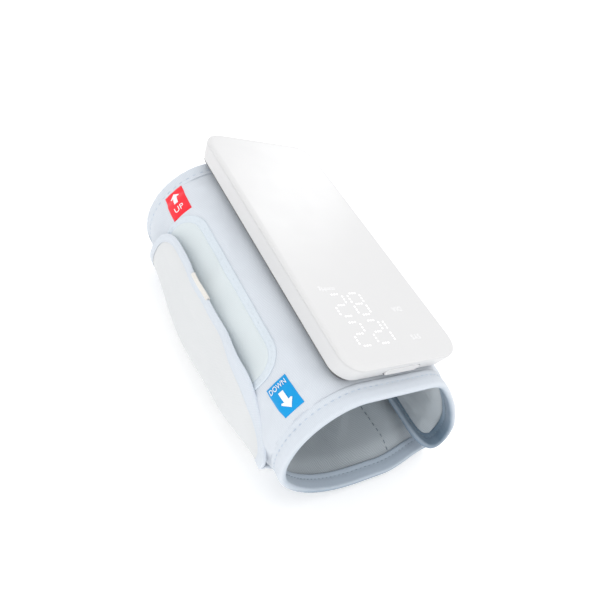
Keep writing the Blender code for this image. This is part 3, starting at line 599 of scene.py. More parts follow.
OUTER = cloth_material("outer_loop_cloth", (0.69, 0.73, 0.78), (0.54, 0.59, 0.66), "loop", pitch=0.95,
                       bump=0.45, contrast=0.55)
FLAP_FACE = cloth_material("flap_loop_cloth", (0.725, 0.74, 0.75), (0.585, 0.605, 0.62), "loop", pitch=0.85,
                           bump=0.35, contrast=0.5)
# The ribbed lining's own grey, set darker as painted shade for the inside of the cuff, with painted light
# towards both ends.
LINING = cloth_material("ribbed_lining", (0.40, 0.435, 0.46), (0.23, 0.265, 0.295), "rib", pitch=1.25,
                        bump=0.7, contrast=0.8, rough=0.8, painted_light_ends=(95.0, 45.0, 115.0))
HOOK_BORDER = cloth_material("patch_border_cloth", (0.69, 0.75, 0.805), (0.55, 0.625, 0.70), "loop",
                             pitch=0.8, bump=0.35, contrast=0.5)
TAPE_LOOK = {"light": (0.665, 0.71, 0.765), "dark": (0.54, 0.60, 0.68), "kind": "tape", "pitch": 0.62,
             "bump": 0.22, "contrast": 0.45, "rough": 0.6, "sheen": 0.2, "fuzz": 0.15}
TAPE = cloth_material("binding_tape", **TAPE_LOOK)
HOOK = cloth_material("hook_cloth", (0.70, 0.755, 0.775), (0.55, 0.62, 0.645), "hook", pitch=0.9,
                      bump=0.6, contrast=0.6, rough=0.65)
THREAD, GREY_THREAD, SHADE_THREAD, PALE_THREAD = (
    cloth_material(name, light, dark, "tape", pitch=0.3, bump=0.3) for name, light, dark in (
        ("thread", (0.58, 0.66, 0.755), (0.42, 0.50, 0.61)),
        ("grey_thread", (0.20, 0.24, 0.28), (0.10, 0.13, 0.16)),
        ("painted_shade_thread", (0.27, 0.33, 0.39), (0.17, 0.22, 0.27)),
        ("pale_thread", (0.70, 0.76, 0.80), (0.52, 0.60, 0.66))))
SATIN = {"kind": "tape", "pitch": 0.45, "bump": 0.2, "contrast": 0.35, "rough": 0.55, "sheen": 0.1,
         "fuzz": 0.1}
RED = cloth_material("red_satin", (0.955, 0.022, 0.040), (0.75, 0.012, 0.025), **SATIN)
BLUE = cloth_material("blue_satin", (0.0, 0.335, 0.745), (0.0, 0.22, 0.56), **SATIN)
WOVEN_WHITE = cloth_material("white_label_thread", (0.93, 0.93, 0.94), (0.80, 0.80, 0.84), "tape",
                             pitch=0.3, bump=0.3, contrast=0.3, fuzz=0.1)
RIBBON = cloth_material("cream_ribbon", (0.86, 0.84, 0.80), (0.62, 0.58, 0.53), "tape", pitch=0.5,
                        bump=0.4, contrast=0.6, rough=0.6)
# The white plastic's edge colour is darker than its body: painted shade on its rounded edges.
WHITE = moulded("satin_white_plastic", (0.71, 0.71, 0.715), 0.32, edge_wear_and_shade=(0.54, 0.545, 0.555))
BUTTON_WHITE = moulded("button_white_plastic", (0.72, 0.72, 0.725), 0.38)
DARK = moulded("dark_plastic", (0.10, 0.10, 0.11), 0.5, edge_wear_and_shade=(0.16, 0.16, 0.17), grain=0.1)
LIGHT_DOT = moulded("display_light", (0.95, 0.95, 0.95), 0.4, glow=0.35)
PRINT = moulded("display_print", (0.84, 0.84, 0.85), 0.4, glow=0.02)
RUBBER = moulded("clear_rubber", (0.72, 0.71, 0.66), 0.45, grain=0.08)
FILM = moulded("clear_film", (0.78, 0.80, 0.80), 0.3)
STEEL = metal("satin_steel", (0.62, 0.62, 0.64), 0.3)
RING_METAL = metal("plated_wire", (0.72, 0.72, 0.74), 0.16, brush=(2400.0, 40.0, 2400.0))
BOARD = board_material("circuit_board")


def finish_piece(obj, body, material, slot, *replaced):
    if body:
        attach(obj, body)
    if material is not None:
        obj.data.materials.append(material)
    if replaced:
        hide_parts(*replaced)
    return obj


# ---------------------------------------------------------------- padded wall of the cuff

EDGE_IN = 1.2                   # where the cloth ends, under the tape, in from the bound edge
SINK_OUT, SINK_IN = 1.0, 2.4    # how far the two cloths dip under the tape's lips
HELD = 7.2                      # width of cloth that the tape's stitching holds
SEAM_X = 44.5                   # sewn line across the bottom of the lining
WALL_STEP, WALL_COLUMNS = 3.0, 47
EASE = 6.0                      # from the held edge in to the wall's full thickness
PUFF_OUT, PUFF_IN = 1.3, 1.2    # most that the cloth may swell out of its CAD layer
TOP_SIDE_Z = -8.0               # cloth above this height is on the top side of the cuff
PAN_ROOM = 0.8                  # gap in the outer cloth round the monitor's pan
SKIN_T = 0.9                    # thickness of each of the wall's two cloths
SIM_FRAMES, SIM_PRESSURE = 20, 4.0


def wall_grid():
    """Stations along the wall, closer towards the tongue's round corners, and places across it."""
    near = TONGUE_S + EDGE_IN
    turn = near + (TONGUE_CORNER_R - EDGE_IN) * (1 - np.cos(np.linspace(0, pi / 2, 9)))
    rest = np.linspace(turn[-1], MOUTH_S, int((MOUTH_S - turn[-1]) / WALL_STEP) + 1)[1:]
    s = np.concatenate([turn, rest])
    inset = EDGE_IN + corner_inset(s - near, TONGUE_CORNER_R - EDGE_IN)
    front, back = body_sides(s)
    across = np.linspace(0, 1, WALL_COLUMNS)
    y = (front + inset)[:, None] * (1 - across) + (back - inset)[:, None] * across
    return np.repeat(s[:, None], WALL_COLUMNS, 1), y


def edge_distance(s, y):
    front, back = body_sides(s)
    inset = corner_inset(s - TONGUE_S, TONGUE_CORNER_R)
    return np.minimum.reduce([y - front - inset, back - inset - y, s - TONGUE_S])


def billow(obj, held):
    """Blows the closed cloth up with Blender's Cloth and returns where its points come to."""
    group = obj.vertex_groups.new(name="held")
    group.add([int(i) for i in np.flatnonzero(held)], 1.0, "REPLACE")
    cloth = obj.modifiers.new("cloth", "CLOTH")
    settings = cloth.settings
    settings.quality = 5
    settings.mass = 0.02
    settings.tension_stiffness = settings.compression_stiffness = 12.0
    settings.shear_stiffness = 6.0
    settings.bending_stiffness = 0.15
    settings.vertex_group_mass = "held"
    settings.use_pressure = True
    settings.uniform_pressure_force = SIM_PRESSURE
    settings.shrink_min = -0.035
    settings.effector_weights.gravity = 0.0
    cloth.point_cache.frame_start, cloth.point_cache.frame_end = 1, SIM_FRAMES
    scene = bpy.context.scene
    for number in range(1, SIM_FRAMES + 1):
        scene.frame_set(number)
    made = evaluated(obj).to_mesh()
    points = np.zeros(len(made.vertices) * 3)
    made.vertices.foreach_get("co", points)
    obj.modifiers.remove(cloth)
    scene.frame_set(1)
    return points.reshape(-1, 3) / MM - ORIGIN


def wall_skins():
    """Outer and inner skin of the padded wall as grids of points, swollen by the simulation."""
    s, y = wall_grid()
    rows, columns = s.shape
    size = rows * columns
    distance = edge_distance(s, y)
    pinch = 1 - smooth((distance - HELD) / EASE)
    outer, inner = wall(s, y, SINK_OUT * pinch), wall(s, y, WALL_T - SINK_IN * pinch)
    under = (np.abs(outer[..., 0]) < MONITOR_W / 2 + 1) & (np.abs(y) < MONITOR_L / 2 + 1)
    under &= outer[..., 2] > TOP_SIDE_Z
    seam = (np.abs(inner[..., 0] - SEAM_X) < WALL_STEP * 0.6) & (s > 0.5 * MOUTH_S)
    normal = wall(s, y, -1.0) - wall(s, y, 0.0)
    sewn = (distance < HELD) | (MOUTH_S - s < 4.0)
    uv = np.stack([s, y], -1)
    body = thick_sheet("wall_while_simulated", outer, inner, uv)
    held = np.concatenate([(sewn | under).ravel(), (sewn | seam).ravel()])
    moved = billow(body, held)
    bpy.data.objects.remove(body)
    fold = soft_lumps(s, y, 9.0, 21.0, 6.0) + 0.5 * soft_lumps(s, y, 5.0, 8.0, 2.0)
    inner -= normal * (0.6 * fold * smooth((distance - HELD) / 8.0) * ~seam)[..., None]
    for grid, skin, low, high in ((outer, 0, -0.15, PUFF_OUT), (inner, 1, -PUFF_IN, 0.15)):
        shift = moved[skin * size:(skin + 1) * size].reshape(rows, columns, 3) - grid
        lift = np.clip((shift * normal).sum(-1), low, high)
        slide = shift - normal * (shift * normal).sum(-1)[..., None]
        grid += normal * lift[..., None] + np.clip(slide, -0.5, 0.5)
    return s, y, outer, inner


def in_pan(point):
    return (abs(point[0]) < PAN_W / 2 + PAN_ROOM and abs(point[1]) < PAN_L / 2 + PAN_ROOM
            and point[2] > TOP_SIDE_Z)


def make_wall():
    s, y, outer, inner = wall_skins()
    uv = np.stack([s, y], -1)
    rows, columns = s.shape
    skins = []
    for name, grid, flip in (("outer_cloth", outer, True), ("lining_cloth", inner, False)):
        faces = grid_faces(rows, columns, flip=flip)
        if name == "outer_cloth":
            flat = grid.reshape(-1, 3)
            faces = [f for f in faces if not all(in_pan(flat[i]) for i in f)]
        obj = new_object(name, grid.reshape(-1, 3), faces, uv.reshape(-1, 2))
        finer = obj.modifiers.new("finer", "SUBSURF")
        finer.levels = finer.render_levels = 1
        thickened(obj, SKIN_T, -1.0)
        skins.append(obj)
    return skins


def check_normals(skins):
    """Turns a skin's faces over if they point into the wall."""
    for obj, sign in zip(skins, (1, -1)):
        worth = 0.0
        for face in list(obj.data.polygons)[::37]:
            centre = np.array(face.center) / MM - ORIGIN
            away = np.array([centre[0] - 5.0, 0.0, centre[2] + 36.0])
            worth += sign * float(np.dot(np.array(face.normal), away / np.linalg.norm(away)))
        if worth < 0:
            obj.data.flip_normals()


OUTER_SKIN, INNER_SKIN = make_wall()
check_normals((OUTER_SKIN, INNER_SKIN))
finish_piece(OUTER_SKIN, "rest", OUTER, "outer_cloth", "outer_fabric")
finish_piece(INNER_SKIN, "rest", LINING, "lining_cloth", "lining")


def tree_of(obj):
    return BVHTree.FromObject(evaluated(obj), bpy.context.evaluated_depsgraph_get())


OUTER_TREE, INNER_TREE = tree_of(OUTER_SKIN), tree_of(INNER_SKIN)


def on_skin(tree, s, y, high, inside):
    """Points a height above a swollen skin, found by looking at it from well outside the wall."""
    s, y, high = np.broadcast_arrays(np.asarray(s, float), y, high)
    far = WALL_T + 6.0 if inside else -6.0
    start, end = wall(s, y, far), wall(s, y, WALL_T / 2)
    found = np.zeros(start.shape)
    for index in np.ndindex(s.shape):
        ahead = end[index] - start[index]
        ahead /= np.linalg.norm(ahead)
        hit = tree.ray_cast(Vector(row(start[index])), Vector(ahead), 9.0 * MM)[0]
        base = np.array(hit) / MM - ORIGIN if hit else wall(s[index], y[index], WALL_T if inside else 0.0)
        found[index] = base - ahead * high[index]
    return found


def outer_skin(s, y, high):
    return on_skin(OUTER_TREE, s, y, high, False)


def inner_skin(s, y, high):
    return on_skin(INNER_TREE, s, y, high, True)


# ---------------------------------------------------------------- bound edge of the cuff

def cuff_outline():
    """The bound edge in (s, y): along the front, round the tongue's end and along the back."""
    run = np.linspace(MOUTH_S, TONGUE_S + TONGUE_CORNER_R, 220)
    front, back = body_sides(run)
    turn = np.linspace(0, pi / 2, 14)[1:]
    centre_s = TONGUE_S + TONGUE_CORNER_R
    first = np.stack([centre_s - TONGUE_CORNER_R * np.sin(turn),
                      front[-1] + TONGUE_CORNER_R * (1 - np.cos(turn))], -1)
    second = np.stack([centre_s - TONGUE_CORNER_R * np.cos(turn),
                       back[-1] - TONGUE_CORNER_R * (1 - np.sin(turn))], -1)
    return np.concatenate([np.stack([run, front], -1), first, second,
                           np.stack([run[::-1], back[::-1]], -1)])


EDGE_DEPTH = 2.0                # middle of the bound edge, below the wall's outer face


def cuff_surface(s, y, high):
    return wall(s, y, EDGE_DEPTH - high)


LIP = [(6.3, 0.95), (6.5, 1.25), (6.1, 1.42), (5.2, 1.42), (4.5, 1.26), (4.0, 1.12), (3.5, 1.22), (2.6, 1.44),
       (1.2, 1.50)]


def cuff_tape_profile():
    turn = np.linspace(radians(78), radians(282), 15)
    roll = [(1.6 * cos(a), 1.5 * sin(a)) for a in turn]
    inside = [(3.0, -0.8), (0.2, -0.8), (-0.9, 0.0), (0.2, 0.8), (3.0, 0.8)]
    return LIP + roll + [(a, -b) for a, b in reversed(LIP)] + inside


CUFF_LINE = spaced_line(cuff_outline(), 1.1)
CUFF_IN = side_normals(CUFF_LINE, -1)
TAPE_MIDDLE = lengths_along(CUFF_LINE)[-1] / 2      # half way round the tongue's end
# The cuff's tape gets painted shade where it turns in, on its underside near the ground and at the tongue's
# end.
CUFF_TAPE = cloth_material("cuff_binding_tape", **TAPE_LOOK, inner=((8.4, 11.6), TAPE_MIDDLE, 85.0))
cuff_tape = edge_sweep("cuff_binding_tape", cuff_surface, CUFF_LINE, CUFF_IN, cuff_tape_profile(),
                       pucker=0.13)
finish_piece(cuff_tape, "rest", CUFF_TAPE, "binding_tape", "cuff_binding")
# The inside row uses a darker thread: painted shade to match the tape's shaded inner side.
for name, high, thread in (("tape_stitches_outside", 1.24, THREAD),
                           ("tape_stitches_inside", -1.24, SHADE_THREAD)):
    stitches = stitch_row(name, cuff_surface, CUFF_LINE, CUFF_IN, 4.0, high, 3.0, 1.8, 0.17)
    finish_piece(stitches, "rest", thread, "binding_tape")


def make_seam_and_mouth():
    """Sewn line across the lining, and the hem where the strap leaves the cuff."""
    seam_s = MOUTH_S - (BODY_END_X - SEAM_X)
    front, back = (float(side[0]) for side in body_sides(np.array([seam_s])))
    line = spaced_line([(seam_s, front + 6.5), (seam_s, back - 6.5)], 1.0)
    seam = stitch_row("lining_seam", inner_skin, line, side_normals(line, 1), 0.0, 0.08, 3.4, 2.3, 0.28)
    finish_piece(seam, "rest", GREY_THREAD, "lining_cloth")
    hem_line = spaced_line([(MOUTH_S - 0.6, MOUTH_FRONT + 1.5), (MOUTH_S - 0.6, MOUTH_BACK - 1.5)], 1.2)
    hem_in = side_normals(hem_line, 1)
    roll = [(0.95 * cos(a) - 0.2, -1.75 + 0.88 * sin(a)) for a in np.linspace(0, 2 * pi, 15)[:-1]]
    finish_piece(edge_sweep("mouth_hem", cuff_surface, hem_line, hem_in, roll, pucker=0.05),
                 "rest", TAPE, "binding_tape")


make_seam_and_mouth()


# ---------------------------------------------------------------- hook patch and labels

PATCH_LOW, PATCH_HIGH, PATCH_FRONT, PATCH_BACK = 22.4, 57.5, -51.0, 41.5
PATCH_R_FRONT, PATCH_R_BACK = 12.0, 13.0
BORDER_W = 3.2


def rounded_outline(low, high, front, back, r_front, r_back, steps=10):
    """A rounded rectangle in (s, y), anticlockwise seen with s to the right."""
    points = []
    for cs, cy, radius, start in ((high - r_front, front + r_front, r_front, -90),
                                  (high - r_back, back - r_back, r_back, 0),
                                  (low + r_back, back - r_back, r_back, 90),
                                  (low + r_front, front + r_front, r_front, 180)):
        for k in range(steps + 1):
            angle = radians(start + 90 * k / steps)
            points.append((cs + radius * cos(angle), cy + radius * sin(angle)))
    return np.array(points)


def filled_outline(name, surface, line, high, thick, step=1.3, crown=0.0):
    """A thin plate on a cloth inside a closed line, as rows of points from side to side."""
    low, top = line.min(0), line.max(0)
    across = top[0] - low[0]
    rows = int((top[1] - low[1]) / step)
    ys = low[1] + (top[1] - low[1]) * (0.5 - 0.5 * np.cos(np.linspace(0, pi, rows)))
    closed = np.vstack([line, line[:1]])
    columns = max(6, int(across / step))
    grid = np.zeros((rows, columns, 2))
    for i, y in enumerate(np.clip(ys, low[1] + 0.02, top[1] - 0.02)):
        cuts = []
        for (s0, y0), (s1, y1) in zip(closed, closed[1:]):
            if (y0 - y) * (y1 - y) <= 0 and y0 != y1:
                cuts.append(s0 + (s1 - s0) * (y - y0) / (y1 - y0))
        share = 0.5 - 0.5 * np.cos(np.linspace(0, pi, columns))
        grid[i, :, 0] = min(cuts) + (max(cuts) - min(cuts)) * share
        grid[i, :, 1] = y
    s, y = grid[..., 0], grid[..., 1]
    away = np.minimum.reduce([s - s[:, :1], s[:, -1:] - s, y - low[1], top[1] - y])
    rise = high + crown * smooth(away / 4.0) - 0.35 * (1 - smooth(away / 0.8))
    return thick_sheet(name, surface(s, y, rise), surface(s, y, rise - thick), grid)


def shoulder_line(points):
    """Turns lengths below the shoulder into s."""
    points = np.array(points, float)
    points[:, 0] += SHOULDER_S
    return points


def make_patch():
    outline = shoulder_line(rounded_outline(PATCH_LOW, PATCH_HIGH, PATCH_FRONT, PATCH_BACK,
                                            PATCH_R_FRONT, PATCH_R_BACK))
    line = spaced_line(outline, 1.2, closed=True)
    inward = side_normals(line, 1, closed=True)
    border = [(0.0, 0.05), (0.05, 0.32), (0.35, 0.50), (0.9, 0.54), (BORDER_W / 2, 0.40),
              (BORDER_W - 0.9, 0.54), (BORDER_W - 0.3, 0.52), (BORDER_W, 0.35), (BORDER_W, 0.05), (1.5, -0.1)]
    tape = edge_sweep("patch_border", outer_skin, line, inward, border, closed=True)
    finish_piece(tape, "rest", HOOK_BORDER, "hook_cloth")
    field_line = line + inward * (BORDER_W - 0.25)
    field = filled_outline("hook_field", outer_skin, field_line, 0.62, 0.6, crown=0.12)
    finish_piece(field, "rest", HOOK, "hook_cloth", "hook_patch")
    stitches = stitch_row("patch_stitches", outer_skin, line, inward, BORDER_W / 2, 0.42, 2.4, 1.6, 0.16)
    finish_piece(stitches, "rest", PALE_THREAD, "hook_cloth")


make_patch()


def label_place(centre, turn, across, along):
    """A label's own coordinates (to the reader's right, up) as (s, y) on the cuff."""
    spin = radians(turn)
    right, up = -across, along
    return (SHOULDER_S + centre[0] + right * cos(spin) - up * sin(spin),
            centre[1] + right * sin(spin) + up * cos(spin))


def flat_letters(text, size, across, along, squeeze=1.0):
    """Outline letters as a flat mesh in label millimetres, centred on a point."""
    curve = bpy.data.curves.new(text, "FONT")
    curve.body = text
    curve.size = size
    curve.align_x, curve.align_y = "CENTER", "CENTER"
    curve.resolution_u = 6
    curve.space_character = 1.05
    holder = scene_object(text, curve)
    bpy.context.view_layer.update()
    mesh = bpy.data.meshes.new_from_object(evaluated(holder))
    verts = [(v.co.x * squeeze + across, v.co.y + along) for v in mesh.vertices]
    faces = [tuple(p.vertices) for p in mesh.polygons]
    bpy.data.objects.remove(holder)
    bpy.data.curves.remove(curve)
    return verts, faces


def arrow_shape(tip, tail, head_w, stem_w):
    """An arrow along the label from tail to tip."""
    way = 1 if tip > tail else -1
    neck = tip - way * head_w * 0.52
    outline = [(0, tip), (-head_w / 2, neck), (-head_w / 2 + 0.35, neck - way * 0.55),
               (-stem_w / 2, neck - way * 0.25), (-stem_w / 2, tail), (stem_w / 2, tail),
               (stem_w / 2, neck - way * 0.25), (head_w / 2 - 0.35, neck - way * 0.55), (head_w / 2, neck)]
    return outline, [(0, 1, 2, 3, 6, 7, 8), (3, 4, 5, 6)]


def emboss(name, pieces, place, surface, high, thick):
    """Flat shapes laid on a curved surface as a thin raised layer."""
    bm = bmesh.new()
    for verts, faces in pieces:
        made = [bm.verts.new((x, y, 0.0)) for x, y in verts]
        for face in faces:
            bm.faces.new([made[i] for i in face])
    bmesh.ops.triangulate(bm, faces=bm.faces[:])
    long_edges = [e for e in bm.edges if e.calc_length() > 1.6]
    if long_edges:
        bmesh.ops.subdivide_edges(bm, edges=long_edges, cuts=2)
    bmesh.ops.triangulate(bm, faces=bm.faces[:])
    flat = np.array([(v.co.x, v.co.y) for v in bm.verts])
    bm.verts.index_update()
    faces = [tuple(v.index for v in f.verts) for f in bm.faces]
    bm.free()
    s, y = place(flat[:, 0], flat[:, 1])
    obj = outward(new_object(name, surface(s, y, np.full(len(flat), high)), faces, flat, smooth_shade=False))
    thickened(obj, thick, 0.0)
    return obj


def make_label(name, centre, turn, width, length, material, slot, marks):
    def place(across, along):
        return label_place(centre, turn, across, along)

    across, along = np.meshgrid(np.linspace(-width / 2, width / 2, 15),
                                np.linspace(-length / 2, length / 2, 21), indexing="ij")
    away = np.minimum(width / 2 - np.abs(across), length / 2 - np.abs(along))
    rise = 0.12 + 0.26 * smooth(away / 0.5) + 0.05 * np.sin(along * 0.9 + across * 0.4)
    s, y = place(across, along)
    label = thick_sheet(name + "_cloth", outer_skin(s, y, rise), outer_skin(s, y, rise - 0.3),
                        np.stack([along, across], -1))
    finish_piece(label, "rest", material, slot, name)
    white = emboss(name + "_marks", marks, place, outer_skin, 0.54, 0.12)
    finish_piece(white, "rest", WOVEN_WHITE, slot)


make_label("up_label", (28.4, 50.0), 1.0, 8.6, 17.4, RED, "red_label",
           [flat_letters("UP", 4.2, 0.0, -4.7, 0.82), arrow_shape(6.4, -1.0, 4.2, 1.7)])
make_label("down_label", (29.0, -60.6), -5.0, 9.6, 13.2, BLUE, "blue_label",
           [flat_letters("DOWN", 3.2, -0.1, 4.2, 0.72), arrow_shape(-5.3, 1.7, 5.0, 2.1)])


# ---------------------------------------------------------------- strap and flap

CLOTH_HALF = 0.7                # half the thickness of the strap's cloth between its tapes
STRAP_COLUMNS = 64


def strap_outline():
    """The bound edge of strap and flap in (s, y): front, round the free end, and back."""
    flap = rounded_path(np.array(FLAP_OUTLINE) + [HINGE_S, 0.0])
    out = np.linspace(STRAP_OUT_S, flap[0, 0], 160)[:-1]
    front = np.stack([out, np.full(len(out), STRAP_FRONT)], -1)
    back = np.stack([out[::-1], np.full(len(out), STRAP_BACK)], -1)
    return np.concatenate([front, flap, back])


STRAP_LINE = spaced_line(strap_outline(), 1.0)
STRAP_IN = side_normals(STRAP_LINE, 1)


def strap_net():
    """Stations and places across for the cloth of strap and flap, inside its bound edge."""
    inset = 0.9
    tip = int(np.argmax(STRAP_LINE[:, 0]))
    end = STRAP_LINE[tip, 0]
    s = np.concatenate([np.linspace(1.0, HINGE_S - 12, 150), np.linspace(HINGE_S - 12, end - 18, 40)[1:],
                        end - inset - (18 - inset) * (1 - np.sin(np.linspace(0, pi / 2, 22)))[1:]])
    front_part, back_part = STRAP_LINE[:tip + 1], STRAP_LINE[tip:][::-1]
    front = np.interp(s, front_part[:, 0], front_part[:, 1]) + inset
    back = np.interp(s, back_part[:, 0], back_part[:, 1]) - inset
    middle = (front + back) / 2
    front, back = np.minimum(front, middle - 1), np.maximum(back, middle + 1)
    share = np.linspace(0, 1, STRAP_COLUMNS)
    y = front[:, None] * (1 - share) + back[:, None] * share
    return np.repeat(s[:, None], STRAP_COLUMNS, 1), y


def make_strap():
    s, y = strap_net()
    away = np.minimum.reduce([y - y[:, :1], y[:, -1:] - y, s[-1:] - s + 1.0])
    share = flap_share(s)
    soft = soft_lumps(s, y, 13.0, 17.0, 4.0)
    lumpy = 0.35 * soft * smooth(share * 3) * smooth((away - 4) / 6)
    raise_out = CLOTH_HALF + 0.22 * smooth(away / 8.0) + lumpy
    groove = -0.16 * np.exp(-((s[-1:] - 12.0 - s) / 0.5) ** 2) * (away > 5)
    top = strap(s, y, raise_out + groove)
    bottom = strap(s, y, -(CLOTH_HALF + 0.15 * smooth(away / 8.0)) + 0.25 * soft * smooth(share * 3))
    return thick_sheet("strap_and_flap", top, bottom, np.stack([s, y], -1))


def strap_tape_profile():
    lip = [(3.3, 0.72), (3.45, 0.88), (3.2, 0.96), (2.8, 0.93), (2.4, 0.83), (1.9, 0.92), (1.4, 0.98),
           (0.7, 0.99)]
    turn = np.linspace(radians(80), radians(280), 11)
    roll = [(1.1 * cos(a), 1.0 * sin(a)) for a in turn]
    inside = [(2.5, -0.70), (0.2, -0.66), (-0.7, 0.0), (0.2, 0.66), (2.5, 0.70)]
    return lip + roll + [(a, -b) for a, b in reversed(lip)] + inside


def flap_swell(line):
    """The tape is a little fuller round the flap than along the strap."""
    return 1.0 + 0.12 * smooth((line[:, 0] - HINGE_S - 2.0) / 12.0)


def flap_widen(line):
    """Broad tape along the front half of the free edge, pinched at its front corner."""
    on_flap = smooth((line[:, 0] - HINGE_S - 18.0) / 14.0)
    return 1.0 + on_flap * (-0.35 + 0.9 * np.exp(-((line[:, 1] + 46.0) / 15.0) ** 2)
                            + 0.12 * np.exp(-((line[:, 1] - 38.0) / 9.0) ** 2))


def along_fold():
    """Two points in the row frame between which the cloth bends as the flap peels."""
    before, after = (strap(HINGE_S + step, 0.0, 0.0) for step in (-4.0, 5.0))
    return tuple(row(before)), tuple(row(after))


FOLD_FROM, FOLD_TO = along_fold()


def bends(obj, material, slot, *replaced):
    """Finish for a piece that runs from the strap into the flap, with its transform baked into its mesh."""
    finish_piece(obj, None, material, slot, *replaced)
    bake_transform(obj)


strap_cloth = make_strap()
strap_tape = edge_sweep("strap_and_flap_tape", strap, STRAP_LINE, STRAP_IN, strap_tape_profile(),
                        pucker=0.05, swell=flap_swell, widen=flap_widen)
strap_thread = stitch_row("strap_and_flap_stitches", strap, STRAP_LINE, STRAP_IN, 2.4, 0.86, 3.0, 1.8, 0.13)
bends(strap_cloth, FLAP_FACE, "strap_cloth", "strap", "flap")
bends(strap_tape, TAPE, "binding_tape", "strap_binding_front", "strap_binding_back", "flap_binding")
bends(strap_thread, PALE_THREAD, "binding_tape")


def make_pull_tab():
    """A folded ribbon sewn into the flap's free edge."""
    y = np.linspace(-7.5, 7.5, 27)
    loop = [(0.3, 0.70), (-1.3, 0.72), (-2.1, 0.60), (-2.3, 0.34), (-2.4, 0.0), (-2.3, -0.34), (-2.1, -0.60),
            (-1.3, -0.72), (0.3, -0.70), (0.3, -0.40), (-1.6, -0.36), (-2.1, 0.0), (-1.6, 0.36), (0.3, 0.40)]
    line = np.stack([np.full(len(y), STRAP_LINE[:, 0].max() - 0.6), y], -1)
    inward = np.tile([-1.0, 0.0], (len(y), 1))
    tab = edge_sweep("ribbon_pull_tab", strap, line, inward, [(a, 1.3 * b) for a, b in loop], pucker=0.04)
    finish_piece(tab, "flap", RIBBON, "ribbon", "pull_tab")


make_pull_tab()


# ---------------------------------------------------------------- ring and its loop

def ring_geometry():
    """The loop's start and heading, its radius and the holder bar's centre, as in the part."""
    state = (2.0, WALL_TOP, 0.0)
    for piece in RIGHT_PIECES[:3]:
        state = advance(state, piece, 1.0)
    x, z, heading = advance(state, RIGHT_PIECES[3], 0.3)
    lift, loop_r = GAP + LOOP_T / 2, WIRE_R + GAP + LOOP_T / 2
    x, z = x - sin(heading) * lift, z + cos(heading) * lift
    bar = advance((x, z, heading), (5.0,), 1.0)
    centre = np.array([bar[0] - sin(heading) * loop_r, 0.0, bar[1] + cos(heading) * loop_r])
    return (x, z, heading), loop_r, centre


LOOP_START, LOOP_R, HOLDER = ring_geometry()


def make_loop():
    table, length = trail_table(LOOP_START[0], LOOP_START[1], np.degrees(LOOP_START[2]),
                                [(5.0,), (LOOP_R, 205), (9.0,)], 0.5)

    def loop(s, y, out):
        return on_trail(table, s, y, out)

    front, back = STRAP_FRONT + LOOP_IN, STRAP_BACK - LOOP_IN
    s, y = np.meshgrid(np.linspace(0.0, length, 60), np.linspace(front, back, 90), indexing="ij")
    soft = soft_lumps(s, y, 5.0, 9.0, 8.0)
    cloth = thick_sheet("ring_loop_cloth", loop(s, y, 0.45 + 0.12 * soft), loop(s, y, -0.45 + 0.08 * soft),
                        np.stack([s, y], -1))
    finish_piece(cloth, "rest", OUTER, "outer_cloth", "ring_loop")
    for number, place in enumerate((length - 1.6, length - 4.4)):
        line = spaced_line([(place, front + 1.5), (place, back - 1.5)], 1.0)
        row_of = stitch_row(f"loop_stitches_{number + 1}", loop, line, side_normals(line, 1), 0.0, 0.6,
                            2.8, 1.9, 0.2)
        finish_piece(row_of, "rest", THREAD, "outer_cloth")


make_loop()


def make_ring():
    """Wire rectangle with round corners and a welded joint in its hidden long side."""
    bottom = np.array([RING_BAR_X, 0.0, RING_BAR_Z])
    down = (bottom - HOLDER) / np.linalg.norm(bottom - HOLDER)
    drop = np.linalg.norm(bottom - HOLDER)
    low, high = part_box("d_ring")
    front, back = (low.y / MM - ORIGIN[1] + WIRE_R, high.y / MM - ORIGIN[1] - WIRE_R)
    outline = spaced_line(rounded_outline(0.0, drop, front, back, 6.0, 6.0, 8), 1.6, closed=True)
    centres = HOLDER + outline[:, :1] * down + outline[:, 1:] * np.array([0.0, 1.0, 0.0])
    side = side_normals(outline, 1, closed=True)
    sideways = side[:, :1] * down + side[:, 1:] * np.array([0.0, 1.0, 0.0])
    normal = np.cross(down, [0.0, 1.0, 0.0])
    weld = np.exp(-((outline[:, 1] + 6.0) / 2.2) ** 2) * (outline[:, 0] < 1.0)
    radius = WIRE_R * (1.0 - 0.012 + 0.10 * weld)
    turns = np.linspace(0, 2 * pi, 21)[:-1]
    points = (centres[:, None, :] + radius[:, None, None] * (
        np.cos(turns)[None, :, None] * sideways[:, None, :] + np.sin(turns)[None, :, None] * normal))
    rows, columns = points.shape[:2]
    faces = grid_faces(rows, columns, wrap=True) + joined_ends(rows, columns)
    ring = outward(new_object("wire_ring", points.reshape(-1, 3), faces))
    finish_piece(ring, "ring", RING_METAL, "ring_metal", "d_ring")


make_ring()


# ---------------------------------------------------------------- monitor

SHARP_ANGLE = radians(32)


def rounded_ring(half_w, half_l, radius, z, steps=12):
    flat = rounded_outline(-half_w, half_w, -half_l, half_l, radius, radius, steps)
    return [(x, y, z) for x, y in flat]


def lofted(name, levels, steps=12):
    """A closed body through rounded rectangles, each (side inset, end inset, corner radius, z)."""
    verts = []
    for side_in, end_in, radius, z in levels:
        verts += rounded_ring(MONITOR_W / 2 - side_in, MONITOR_L / 2 - end_in, radius, z, steps)
    columns = 4 * (steps + 1)
    faces = grid_faces(len(levels), columns, wrap=True) + end_caps(len(levels), columns)
    obj = outward(new_object(name, np.array(verts), faces))
    obj.data.set_sharp_from_angle(angle=SHARP_ANGLE)
    return obj


def cut(obj, tool):
    modifier = obj.modifiers.new("cut", "BOOLEAN")
    modifier.operation, modifier.solver, modifier.object = "DIFFERENCE", "EXACT", tool
    made = bpy.data.meshes.new_from_object(evaluated(obj))
    obj.modifiers.remove(modifier)
    old = obj.data
    obj.data = made
    bpy.data.meshes.remove(old)
    bpy.data.objects.remove(tool)
    return obj


